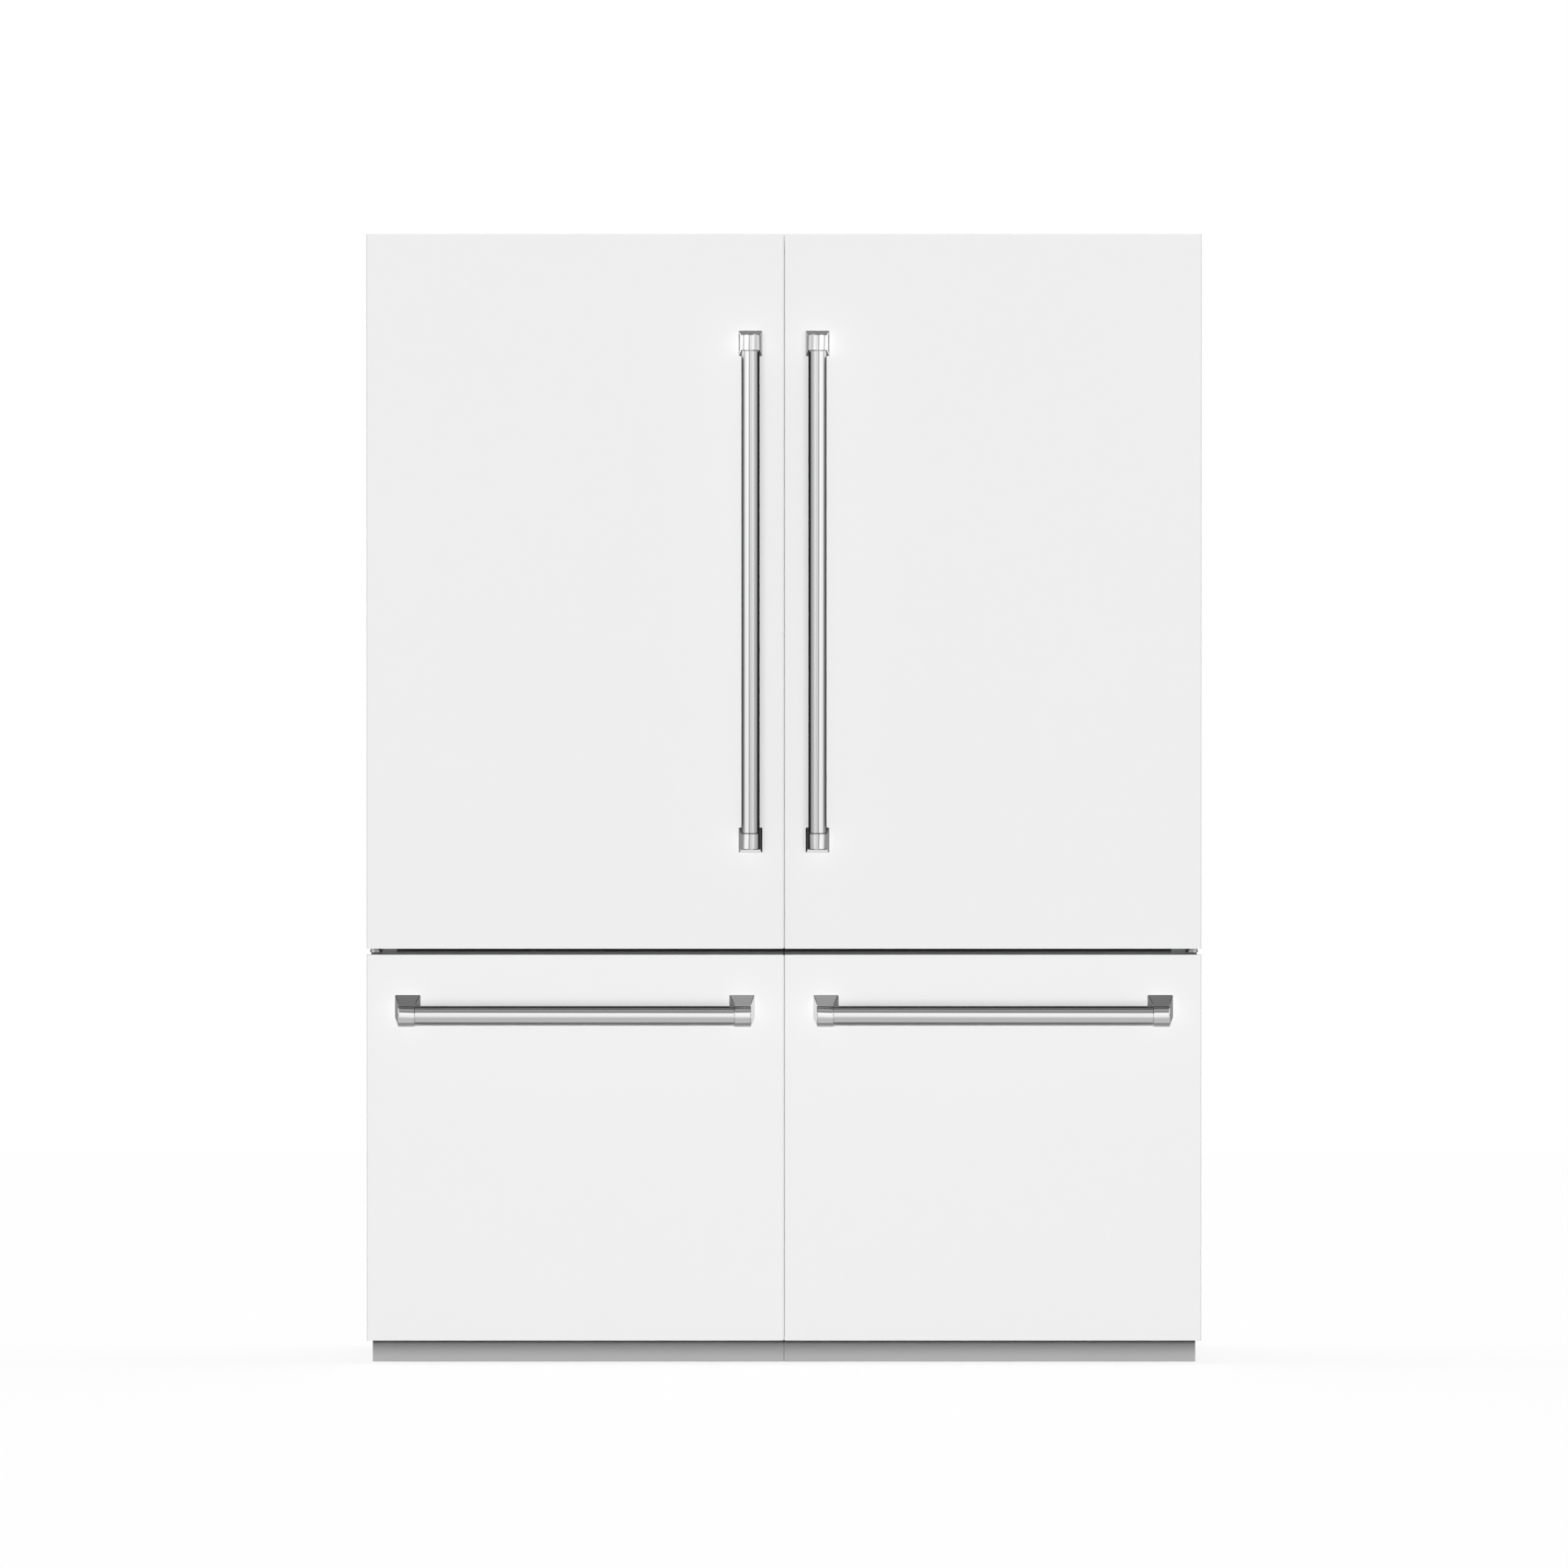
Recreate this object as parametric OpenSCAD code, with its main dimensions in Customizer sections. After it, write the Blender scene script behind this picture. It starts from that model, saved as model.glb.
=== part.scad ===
// Pair of built-in refrigerator columns standing side by side: a hinged door above
// and a pull-out freezer drawer below in each. Millimetres, +Z up, front towards -Y,
// origin on the floor at the middle of the width and depth.

/* [Overall] */
// Width across both columns
overall_w = 1524; // [1440:2:1640]
// Height from the floor to the top of the doors
overall_h = 2062; // [1980:1:2200]
// Depth from the face of the doors to the back
cabinet_d = 635; // [620:1:720]

/* [Fronts] */
// Height of the plinth below the freezer drawers
plinth_h = 42; // [38:1:70]
// Height of each freezer drawer front
drawer_h = 705; // [690:1:740]
// Gap between the drawers and the doors above them
front_gap = 11; // [9:0.5:14]
// Gap between the left and right fronts
seam_gap = 3; // [2:0.5:6]
// Thickness of the front panels
panel_t = 19; // [16:1:24]
// Thickness of the insulated case behind each panel
case_t = 46; // [42:1:56]
// Wall of the pan that forms each case
case_wall = 2; // [1.5:0.1:3]
// Thickness of the back of the case, which holds the gasket's groove
case_back = 8; // [8:0.5:12]
// How far each case stands in from its panel's edge
case_inset = 1.5; // [1:0.5:3]
// Depth of the pad or bin plate on the inner face of each case
pad_t = 3; // [2:0.5:5]

/* [Gaskets] */
// Space between the case and the cabinet front, filled by the gasket
gasket_gap = 12; // [10:0.5:16]
// Distance from the panel's edge to the gasket
gasket_inset = 16; // [14:0.5:20]
// Width of the gasket
gasket_w = 14; // [12:0.5:18]
// Depth of the dart that holds the gasket in its groove
dart_h = 5; // [3:0.5:8]

/* [Cabinet] */
// How far the cabinet side stands in from the edge of the doors
casing_inset = 6.2; // [4:0.2:10]
// How far the cabinet top stands below the top of the doors
casing_drop = 10; // [8:0.5:16]
// Height of the cabinet base above the top of the plinth
base_rise = 3; // [2:0.5:6]
// Sheet steel of the cabinet, its covers and the plinth
sheet_t = 1.2; // [0.8:0.1:2]
// Thickness of the insulated side walls, top and floor
wall_t = 50; // [44:1:58]
// Thickness of the insulated back wall
back_t = 55; // [45:1:65]
// Height of the insulated rail between the two compartments
rail_h = 80; // [76:1:96]
// Thickness of the moulded compartment liners
liner_t = 2.5; // [1.5:0.1:4]
// Corner radius of the compartments
liner_r = 22; // [12:1:26]
// Diameter of the screw holes for an anti-tip bracket on the cabinet top
tie_hole_d = 6.4; // [4:0.2:8]
// Spacing of the anti-tip holes across the cabinet
tie_spacing_x = 200; // [100:5:300]
// Spacing of the anti-tip holes from front to back
tie_spacing_y = 50; // [30:1:80]
// Depth of the machine compartment at the bottom of the back
machine_d = 190; // [180:1:200]
// Height of the machine compartment
machine_h = 210; // [200:1:225]

/* [Door hinges] */
// Distance from the door's outer edge to the hinge axis
hinge_edge = 15; // [13:0.5:18]
// Distance from the back of the case to the hinge axis
hinge_back = 24; // [20:0.5:28]
// Diameter of the hinge pins
pin_d = 10; // [8:0.5:12]
// Depth to which a pin enters the door
pin_h = 25; // [15:1:35]
// Thickness of the hinge plates
hinge_t = 4; // [3:0.5:5]
// Radial clearance of a pin in its bush
pin_play = 0.08; // [0.05:0.01:0.1]

/* [Handles] */
// Diameter of the handle bars
bar_d = 33; // [28:0.5:35]
// Distance from the door's face to the axis of the bar
bar_reach = 45; // [38:0.5:60]
// Wall of the bracket cap round the bar
cap_wall = 1.8; // [1.5:0.1:3]
// Width of a bracket cap along the bar
cap_w = 30.5; // [26:0.5:36]
// Flare of the bracket foot beyond the end of the handle
flare_out = 7; // [4:0.5:10]
// Flare of the bracket foot under the bar
flare_in = 9; // [4:0.5:12]
// Flare of the bracket foot to each side
flare_side = 3.2; // [1:0.1:6]
// Height of a door handle's lower end above the bottom of the door
door_handle_rise = 175; // [120:1:220]
// Distance from the top of the door down to its handle's upper end
door_handle_drop = 176; // [120:1:220]
// Distance from the door's inner edge to the axis of its bar
door_handle_edge = 59.5; // [48:0.5:90]
// Length of the drawer handles over their feet
drawer_handle_l = 657; // [500:1:700]
// Distance from the top of the drawer front to the axis of its bar
drawer_handle_drop = 109; // [70:1:160]
// How far the feet of a drawer handle sit above its bar
foot_rise = 14; // [0:0.5:16]
// Diameter of the studs that fasten the brackets
stud_d = 6; // [5:0.5:8]

/* [Refrigerator compartment] */
// Depth of the door dike behind the case
dike_d = 30; // [24:1:36]
// Width of the door dike
dike_w = 20; // [16:1:26]
// Clearance round the door dike
dike_gap = 8; // [6:0.5:12]
// Number of door bins
bin_count = 4; // [3:1:4]
// Depth of a door bin
bin_d = 98; // [85:1:100]
// Height of a door bin
bin_h = 105; // [80:1:120]
// Wall of the bins, crispers, baskets and trays
tub_t = 3; // [2:0.2:4]
// Thickness of the glass shelves
glass_t = 5; // [4:0.5:6]
// Height of the shelf trim
trim_h = 14; // [12:0.5:18]
// Number of shelves above the crispers
shelf_count = 3; // [2:1:4]
// Height of the crispers
crisper_h = 175; // [150:1:190]
// How far a crisper slides while the door is shut
crisper_travel = 90; // [60:1:95]
// Thickness of the duct cover on the back wall
duct_t = 24; // [18:1:30]

/* [Freezer] */
// How far a freezer drawer opens
drawer_travel = 390; // [300:5:395]
// Height of the drawer slides
slide_h = 45; // [38:1:50]
// Thickness of a drawer slide
slide_w = 12.7; // [12:0.1:16]
// Sheet thickness of the slide members
slide_t = 1.5; // [1.2:0.1:1.8]
// Height of the basket
basket_h = 440; // [400:1:460]
// Depth of the ice tray, front to back
tray_d = 190; // [150:1:220]
// Height of the ice tray
tray_h = 85; // [60:1:100]
// How far the ice tray slides back over the basket
tray_travel = 170; // [100:5:180]
// Space for the evaporator behind its cover
evaporator_d = 62; // [58:1:70]

/* [Machinery] */
// Diameter of the compressor shell
shell_d = 128; // [110:1:135]
// Height of the compressor shell
shell_h = 135; // [120:1:145]
// Diameter of the condenser fan
condenser_fan_d = 120; // [100:1:130]
// Diameter of the freezer fan
freezer_fan_d = 96; // [80:1:104]
// Number of blades on each fan
blade_count = 5; // [3:1:7]
// Diameter of the levelling feet
foot_d = 42; // [32:1:50]
// Diameter of the threaded stems of the levelling feet
stem_d = 12; // [10:1:14]

/* [Hidden] */

$fn = 64;
eps = 0.5;            // overshoot of a cut beyond the face that it opens
touch = 0.3;          // space between pieces that move past each other
fit = 0.3;            // space round a piece that drops into a seat

// Places shared by everything; the modules draw the left column and mirror it
cap_r = bar_d / 2 + cap_wall;
handle_reach = bar_reach + cap_r;
x_out = -overall_w / 2;
x_in = -seam_gap / 2;
y_back = (cabinet_d + handle_reach) / 2;
y_face = y_back - cabinet_d;
y_panel = y_face + panel_t;
y_case = y_panel + case_t;
y_front = y_case + gasket_gap;
y_casing = y_back - sheet_t;
drawer_z0 = plinth_h;
drawer_z1 = drawer_z0 + drawer_h;
door_z0 = drawer_z1 + front_gap;
door_z1 = overall_h;
casing_x0 = x_out + casing_inset;
casing_z0 = plinth_h + base_rise;
casing_z1 = overall_h - casing_drop;
rail_z = drawer_z1 + front_gap / 2;

// Compartments, measured on the inner face of their liners
cav_x0 = casing_x0 + wall_t;
cav_x1 = -wall_t;
cav_mid = (cav_x0 + cav_x1) / 2;
cav_y1 = y_casing - back_t;
fridge_z0 = rail_z + rail_h / 2;
fridge_z1 = casing_z1 - wall_t;
freezer_z0 = casing_z0 + wall_t;
freezer_z1 = rail_z - rail_h / 2;
machine_y0 = y_casing - machine_d;
machine_z1 = casing_z0 + machine_h;
step_y = machine_y0 - wall_t;
step_z = machine_z1 + wall_t;

// Hinge axis of the left door
hinge_x = x_out + hinge_edge;
hinge_y = y_case - hinge_back;
hinge_gap = 1;        // between the top plate and the door case
plate_z = rail_z - hinge_t / 2;
collar_d = pin_d + 8;
case_z1 = casing_z1 - hinge_gap;

white = "#efefef";
steel = "#c4c6c8";
dark_grey = "#4b4c4e";
pale_grey = "#b4b5b6";
liner_white = "#f4f5f5";
black = "#1e1f20";
clear = "#cfe0e6";

// ---------------------------------------------------------------- shapes

// A box given by its two corners
module block(x0, x1, y0, y1, z0, z1) {
    translate([x0, y0, z0]) cube([x1 - x0, y1 - y0, z1 - z0]);
}

// A flat rounded rectangle whose corner is at the origin
module rounded(w, h, r) {
    if (r <= 0) {
        square([w, h]);
    } else {
        translate([r, 0]) square([w - 2 * r, h]);
        translate([0, r]) square([w, h - 2 * r]);
        for (x = [r, w - r], y = [r, h - r]) translate([x, y]) circle(r);
    }
}

// A flat slot with round ends, centred on the origin
module slot(w, h) {
    if (h > w) {
        square([w, h - w], center = true);
        for (s = [-1, 1]) translate([0, s * (h - w) / 2]) circle(d = w);
    } else {
        rotate(90) slot(h, w);
    }
}

// Cuts a slot through a wall that faces front, from y0 to y1
module slot_cut(x, z, w, h, y0, y1) {
    translate([x, y1, z]) rotate([90, 0, 0]) linear_extrude(y1 - y0) slot(w, h);
}

// A rounded slab that stands in X and Z and is y1 - y0 thick
module upright(x0, x1, z0, z1, y0, y1, r = 0) {
    translate([x0, y1, z0]) rotate([90, 0, 0])
        linear_extrude(y1 - y0) rounded(x1 - x0, z1 - z0, r);
}

// A rounded slab that lies in X and Y and is z1 - z0 high
module lying(x0, x1, y0, y1, z0, z1, r = 0) {
    translate([x0, y0, z0]) linear_extrude(z1 - z0) rounded(x1 - x0, y1 - y0, r);
}

// A picture frame that stands in X and Z
module upright_frame(x0, x1, z0, z1, y0, y1, w, r = 0) {
    difference() {
        upright(x0, x1, z0, z1, y0, y1, r);
        upright(x0 + w, x1 - w, z0 + w, z1 - w, y0 - eps, y1 + eps, max(r - w, 0));
    }
}

// A rod between two heights
module rod_z(x, y, z0, z1, d) {
    translate([x, y, z0]) cylinder(d = d, h = z1 - z0);
}

// A rod that runs from front to back
module rod_y(x, y0, y1, z, d) {
    translate([x, y1, z]) rotate([90, 0, 0]) cylinder(d = d, h = y1 - y0);
}

// A rod that runs from left to right
module rod_x(x0, x1, y, z, d) {
    translate([x0, y, z]) rotate([0, 90, 0]) cylinder(d = d, h = x1 - x0);
}

// A profile drawn in Y and Z, extruded across X
module across(x0, x1, points) {
    translate([x0, 0, 0]) rotate([90, 0, 90]) linear_extrude(x1 - x0) polygon(points);
}

// What the left column has, and the same on the right
module both() {
    children();
    mirror([1, 0, 0]) children();
}

// A solid through a list of closed rings with equal numbers of points
module loft(rings) {
    n = len(rings[0]);
    last = len(rings) - 1;
    sides = [
        for (j = [0:last - 1], i = [0:n - 1])
            [j * n + i, (j + 1) * n + i, (j + 1) * n + (i + 1) % n, j * n + (i + 1) % n]
    ];
    polyhedron(
        points = [for (ring = rings) each ring],
        faces = concat(
            [[for (i = [0:n - 1]) i]], sides, [[for (i = [n - 1:-1:0]) last * n + i]]
        )
    );
}

// Points of a rounded rectangle from (x0, y0) to (x1, y1) at height z
function rounded_ring(x0, x1, y0, y1, r, z, steps = 6) = [
    for (q = [0:3], k = [0:steps])
        let (a = q * 90 + k * 90 / steps)
        [(q == 0 || q == 3 ? x1 - r : x0 + r) + r * cos(a),
         (q < 2 ? y1 - r : y0 + r) + r * sin(a), z]
];

// ---------------------------------------------------------------- cabinet

module fridge_cavity(grow) {
    upright(cav_x0 - grow, cav_x1 + grow, fridge_z0 - grow, fridge_z1 + grow,
            y_front - (grow > 0 ? 0 : eps), cav_y1 + grow, liner_r + grow);
}

module freezer_cavity(grow) {
    y0 = y_front - (grow > 0 ? 0 : eps);
    upright(cav_x0 - grow, cav_x1 + grow, freezer_z0 - grow, freezer_z1 + grow,
            y0, step_y + grow, liner_r + grow);
    upright(cav_x0 - grow, cav_x1 + grow, step_z - grow, freezer_z1 + grow,
            y0, cav_y1 + grow, liner_r + grow);
}

boss_d = stem_d + 12;
boss_h = 16;
foot_inset_x = 45;
foot_inset_y = 60;
foot_places = [
    for (x = [casing_x0 + foot_inset_x, -foot_inset_x],
         y = [y_front + foot_inset_y, y_casing - foot_inset_y]) [x, y]
];
cover_lap = 14;       // rim of the cabinet back that a machine cover rests on
plinth_setback = 50;
plinth_y = y_face + plinth_setback;
plinth_tab_t = 3;
plinth_tab_z = 10;
drawer_clear = 2;     // below a moving drawer front

tie_pocket_h = 20;
tie_edge = 40;        // from the back of the cabinet to the nearer anti-tip holes
tie_holes = [
    for (x = [-1, 1], y = [0, 1])
        [casing_x0 / 2 + x * tie_spacing_x / 2, y_casing - tie_edge - y * tie_spacing_y]
];

module casing() {
    s = sheet_t;
    color(dark_grey) {
        difference() {
            block(casing_x0, 0, y_front, y_casing, casing_z0, casing_z1);
            block(casing_x0 + s, -s, y_front + s, y_casing - s, casing_z0 + s, casing_z1 - s);
            upright(cav_x0 - liner_t, cav_x1 + liner_t, fridge_z0 - liner_t, fridge_z1 + liner_t,
                    y_front - eps, y_front + s + eps, liner_r + liner_t);
            upright(cav_x0 - liner_t, cav_x1 + liner_t, freezer_z0 - liner_t, freezer_z1 + liner_t,
                    y_front - eps, y_front + s + eps, liner_r + liner_t);
            block(casing_x0 + s + cover_lap, -s - cover_lap, y_casing - s - eps, y_casing + eps,
                  casing_z0 + s + cover_lap, machine_z1 - cover_lap);
            for (p = tie_holes) rod_z(p[0], p[1], casing_z1 - s - eps, casing_z1 + eps, tie_hole_d);
        }
        // folded partition round the machine compartment
        block(casing_x0 + s, -s, machine_y0 - s, machine_y0, casing_z0 + s, machine_z1 + s);
        block(casing_x0 + s, -s, machine_y0, y_casing - s, machine_z1, machine_z1 + s);
        // threaded bosses of the levelling feet
        for (p = foot_places) {
            difference() {
                rod_z(p[0], p[1], casing_z0 - boss_h, casing_z0, boss_d);
                rod_z(p[0], p[1], casing_z0 - boss_h - eps, casing_z0 - s, stem_d + 2 * pin_play);
            }
        }
        // tabs that carry the plinth
        for (x = [casing_x0 + foot_inset_x + boss_d, -foot_inset_x - boss_d]) {
            across(x, x + plinth_tab_t, [
                [plinth_y + s, plinth_tab_z], [y_front + foot_inset_y / 2, plinth_tab_z],
                [y_front + foot_inset_y / 2, casing_z0], [y_front + s, casing_z0],
                [y_front + s, plinth_h - drawer_clear], [plinth_y + s, plinth_h - drawer_clear]
            ]);
        }
    }
}

module insulation() {
    s = sheet_t;
    color("#e8dcae") difference() {
        block(casing_x0 + s, -s, y_front + s, y_casing - s, casing_z0 + s, casing_z1 - s);
        block(casing_x0, 0, machine_y0 - s, y_casing, casing_z0, machine_z1 + s);
        fridge_cavity(liner_t);
        freezer_cavity(liner_t);
        for (p = tie_holes)
            rod_z(p[0], p[1], casing_z1 - s - tie_pocket_h, casing_z1, tie_hole_d + 6);
    }
}

module fridge_liner() {
    color(liner_white) difference() {
        fridge_cavity(liner_t);
        fridge_cavity(0);
    }
}

module freezer_liner() {
    color(liner_white) difference() {
        freezer_cavity(liner_t);
        freezer_cavity(0);
    }
}

louvre_w = 9;
louvre_h = 60;
louvre_pitch = 22;

module machine_cover() {
    x0 = casing_x0 + cover_lap / 2;
    x1 = -cover_lap / 2;
    z0 = casing_z0 + cover_lap / 2;
    z1 = machine_z1 - cover_lap / 2;
    n = floor((x1 - x0 - 6 * cover_lap) / louvre_pitch);
    start = (x0 + x1) / 2 - (n - 1) * louvre_pitch / 2;
    rows = [z0 + (z1 - z0) * 0.28, z0 + (z1 - z0) * 0.72];
    color(pale_grey) translate([0, y_back, 0]) rotate([90, 0, 0]) linear_extrude(sheet_t)
        difference() {
            translate([x0, z0]) rounded(x1 - x0, z1 - z0, cover_lap / 3);
            for (i = [0:n - 1], z = rows)
                if (z > z0 + (z1 - z0) / 2 || abs(start + i * louvre_pitch - inlet_x) > inlet_w)
                    translate([start + i * louvre_pitch, z]) slot(louvre_w, louvre_h);
            translate([inlet_x - inlet_w / 2 - fit, inlet_z - inlet_h / 2 - fit])
                square([inlet_w + 2 * fit, inlet_h + 2 * fit]);
        }
}

inlet_w = 28;
inlet_h = 20;
inlet_d = 26;
inlet_rim = 4;
inlet_x = cav_x1 - 60;
inlet_z = casing_z0 + machine_h * 0.28;

// Socket of the mains lead, flush in the machine cover, with three contact pins
module power_inlet() {
    wall = 2.5;
    floor_t = 6;
    pin_l = 13;
    half_w = inlet_w / 2;
    half_h = inlet_h / 2;
    color(black) {
        difference() {
            union() {
                upright(inlet_x - half_w, inlet_x + half_w, inlet_z - half_h, inlet_z + half_h,
                        y_back - inlet_d, y_back);
                upright(inlet_x - half_w - inlet_rim, inlet_x + half_w + inlet_rim,
                        inlet_z - half_h - inlet_rim, inlet_z + half_h + inlet_rim,
                        y_casing - tub_t, y_casing, 2);
            }
            upright(inlet_x - half_w + wall, inlet_x + half_w - wall, inlet_z - half_h + wall,
                    inlet_z + half_h - wall, y_back - inlet_d + floor_t, y_back + eps, 2);
        }
        for (p = [[-7, 0], [0, 3], [7, 0]])
            block(inlet_x + p[0] - 1, inlet_x + p[0] + 1, y_back - inlet_d + floor_t,
                  y_back - inlet_d + floor_t + pin_l, inlet_z + p[1] - 2, inlet_z + p[1] + 2);
    }
}

plinth_side = 9.5;

module toe_kick() {
    z1 = plinth_h - 1;
    lip = 12;
    color(pale_grey) {
        block(x_out + plinth_side, x_in / 2, plinth_y, plinth_y + sheet_t, 1, z1);
        block(x_out + plinth_side, x_out + plinth_side + sheet_t, plinth_y + sheet_t,
              plinth_y + sheet_t + lip, 1, z1);
    }
}

module levelling_foot(p) {
    pad_h = 7;
    nut_h = 9;
    color(black) rod_z(p[0], p[1], 0, pad_h, foot_d);
    color(steel) {
        translate([p[0], p[1], pad_h]) cylinder(d = stem_d * 1.8, h = nut_h, $fn = 6);
        rod_z(p[0], p[1], pad_h, casing_z0 - sheet_t - 1, stem_d);
    }
}

hinge_arm_w = 24;
hinge_tab_l = 46;
hinge_tab_t = 3;
hinge_tab_h = 34;

module hinge_bracket_set() {
    x0 = hinge_x - hinge_arm_w / 2 + 2;
    x1 = hinge_x + hinge_arm_w / 2;
    color(steel) {
        // upper plate on the cabinet top, with its pin down into the door
        block(x0, x1, hinge_y, y_front + 60, casing_z1, casing_z1 + hinge_t);
        rod_z((x0 + x1) / 2, hinge_y, casing_z1, casing_z1 + hinge_t, x1 - x0);
        rod_z(hinge_x, hinge_y, casing_z1 - pin_h, casing_z1 + hinge_t, pin_d);
        // lower plate in the gap, with its pin up into the door and a collar below it
        block(x0, x1, hinge_y, y_front, plate_z, plate_z + hinge_t);
        rod_z((x0 + x1) / 2, hinge_y, plate_z, plate_z + hinge_t, x1 - x0);
        rod_z(hinge_x, hinge_y, plate_z, door_z0 + case_inset - touch, collar_d);
        rod_z(hinge_x, hinge_y, plate_z, door_z0 + case_inset + pin_h, pin_d);
        difference() {
            block(casing_x0 + 1, casing_x0 + 1 + hinge_tab_l, y_front - hinge_tab_t, y_front,
                  rail_z - hinge_tab_h / 2, rail_z + hinge_tab_h / 2);
            for (dz = [-1, 1])
                rod_y(casing_x0 + hinge_tab_l - 7, y_front - hinge_tab_t - eps, y_front + eps,
                      rail_z + dz * hinge_tab_h / 4, 5);
        }
    }
}

// ---------------------------------------------------------------- door and drawer fronts

// The white panel, bored for the studs of its handle
module front_panel(z0, z1, studs) {
    color(white) difference() {
        block(x_out, x_in, y_face, y_panel, z0, z1);
        for (p = studs) rod_y(p[0], y_face - eps, y_panel + eps, p[1], stud_d + 0.6);
    }
}

module gasket_groove(z0, z1) {
    i = gasket_inset + gasket_w / 2 - 2;
    upright_frame(x_out + i - fit, x_in - i + fit, z0 + i - fit, z1 - i + fit,
                  y_case - dart_h - fit, y_case + eps, 4 + 2 * fit);
}

// Flange, waist, magnet tube and dart of a door seal
module gasket(z0, z1) {
    i = gasket_inset;
    w = gasket_w;
    base = gasket_gap * 0.25;
    waist = gasket_gap * 0.5;
    color("#77797b") {
        upright_frame(x_out + i, x_in - i, z0 + i, z1 - i, y_case, y_case + base, w, 4);
        upright_frame(x_out + i + w / 4, x_in - i - w / 4, z0 + i + w / 4, z1 - i - w / 4,
                      y_case + base, y_case + waist, w / 2, 2);
        upright_frame(x_out + i, x_in - i, z0 + i, z1 - i, y_case + waist,
                      y_front - touch, w, 4);
        upright_frame(x_out + i + w / 2 - 2, x_in - i - w / 2 + 2, z0 + i + w / 2 - 2,
                      z1 - i - w / 2 + 2, y_case - dart_h, y_case, 4);
    }
}

// Ring of a bracket foot and neck at depth t from the door, 0 at the foot and 1 at the cap
function bracket_ring(t, rise) =
    let (
        flare = pow(1 - t, neck_curve),
        half = cap_r + flare_side * flare,
        shift = rise * (1 - t)
    )
    rounded_ring(-flare_out * flare, cap_w + flare_in * flare, shift - half, shift + half,
                 1.2 + 1.2 * flare, t * bar_reach);

neck_curve = 1.15;    // 1 is a straight taper from the foot to the cap
cap_chamfer = 1.4;
stud_l = 14;
stud_boss = 8;
bar_seat = 22;
bar_fit = 0.15;       // radial clearance of the bar in its cap

// One bracket with its outer end at the origin, the bar along +X and the door at z = 0
module handle_bracket(rise) {
    slices = 8;
    color(steel) difference() {
        union() {
            loft([for (k = [0:slices]) bracket_ring(k / slices, rise)]);
            translate([0, 0, bar_reach]) rotate([0, 90, 0]) rotate_extrude()
                polygon([
                    [0, 0], [cap_r - cap_chamfer, 0], [cap_r, cap_chamfer],
                    [cap_r, cap_w - cap_chamfer], [cap_r - cap_chamfer, cap_w], [0, cap_w]
                ]);
        }
        rod_x(cap_w - bar_seat, cap_w + flare_in, 0, bar_reach, bar_d + 2 * bar_fit);
    }
    color(steel) translate([cap_w / 2, rise, -stud_l]) cylinder(d = stud_d, h = stud_l + 1);
}

// The two brackets of a handle of length l, whose feet face the door
module bracket_pair(l, rise) {
    for (end = [0, 1])
        translate([end * (l - 2 * flare_out), 0, 0]) mirror([end, 0, 0]) handle_bracket(rise);
}

module handle_bar(l) {
    gap = cap_w - bar_seat + 0.5;
    color(steel) rod_x(gap, l - 2 * flare_out - gap, 0, bar_reach, bar_d);
}

door_bar_x = x_in - door_handle_edge;
door_handle_z = door_z0 + door_handle_rise + flare_out;
door_handle_l = door_z1 - door_z0 - door_handle_rise - door_handle_drop;
drawer_bar_z = drawer_z1 - drawer_handle_drop;
drawer_handle_x = (x_out + x_in) / 2 - drawer_handle_l / 2 + flare_out;
door_studs = [
    for (z = [door_handle_z + cap_w / 2,
              door_handle_z + door_handle_l - 2 * flare_out - cap_w / 2]) [door_bar_x, z]
];
drawer_studs = [
    for (x = [drawer_handle_x + cap_w / 2,
              drawer_handle_x + drawer_handle_l - 2 * flare_out - cap_w / 2])
        [x, drawer_bar_z + foot_rise]
];

// Stands a handle up on the door, its local Z pointing away from the door's face
module on_door() {
    translate([door_bar_x, y_face, door_handle_z]) rotate([90, -90, 0]) children();
}

module on_drawer() {
    translate([drawer_handle_x, y_face, drawer_bar_z]) rotate([90, 0, 0]) children();
}

// Pan of a door or drawer, open towards its panel, with bosses round the handle studs
module case_pan(z0, z1, studs) {
    difference() {
        block(x_out + case_inset, x_in - case_inset, y_panel, y_case, z0, z1);
        block(x_out + case_inset + case_wall, x_in - case_inset - case_wall, y_panel - eps,
              y_case - case_back, z0 + case_wall, z1 - case_wall);
    }
    for (p = studs) difference() {
        rod_y(p[0], y_panel, y_case - case_back + eps, p[1], stud_d + 2 * stud_boss);
        rod_y(p[0], y_panel - eps, y_panel + stud_l, p[1], stud_d + stud_boss);
    }
}

hinge_cap = 8;        // solid end of a hinge boss beyond its bore

module hinge_boss(z0, z1) {
    rod_z(hinge_x, hinge_y, z0, z1, 2 * (hinge_edge - case_inset - case_wall / 2));
}

module hinge_bore(z0, z1) {
    rod_z(hinge_x, hinge_y, z0, z1, pin_d + 2 * pin_play);
}

module door_case() {
    z0 = door_z0 + case_inset;
    bore_h = pin_h + 2;
    color(dark_grey) difference() {
        union() {
            case_pan(z0, case_z1, door_studs);
            hinge_boss(z0, z0 + bore_h + hinge_cap);
            hinge_boss(case_z1 - bore_h - hinge_cap, case_z1);
        }
        gasket_groove(door_z0, door_z1);
        hinge_bore(z0 - eps, z0 + bore_h);
        hinge_bore(case_z1 - bore_h, case_z1 + eps);
    }
}

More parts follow.
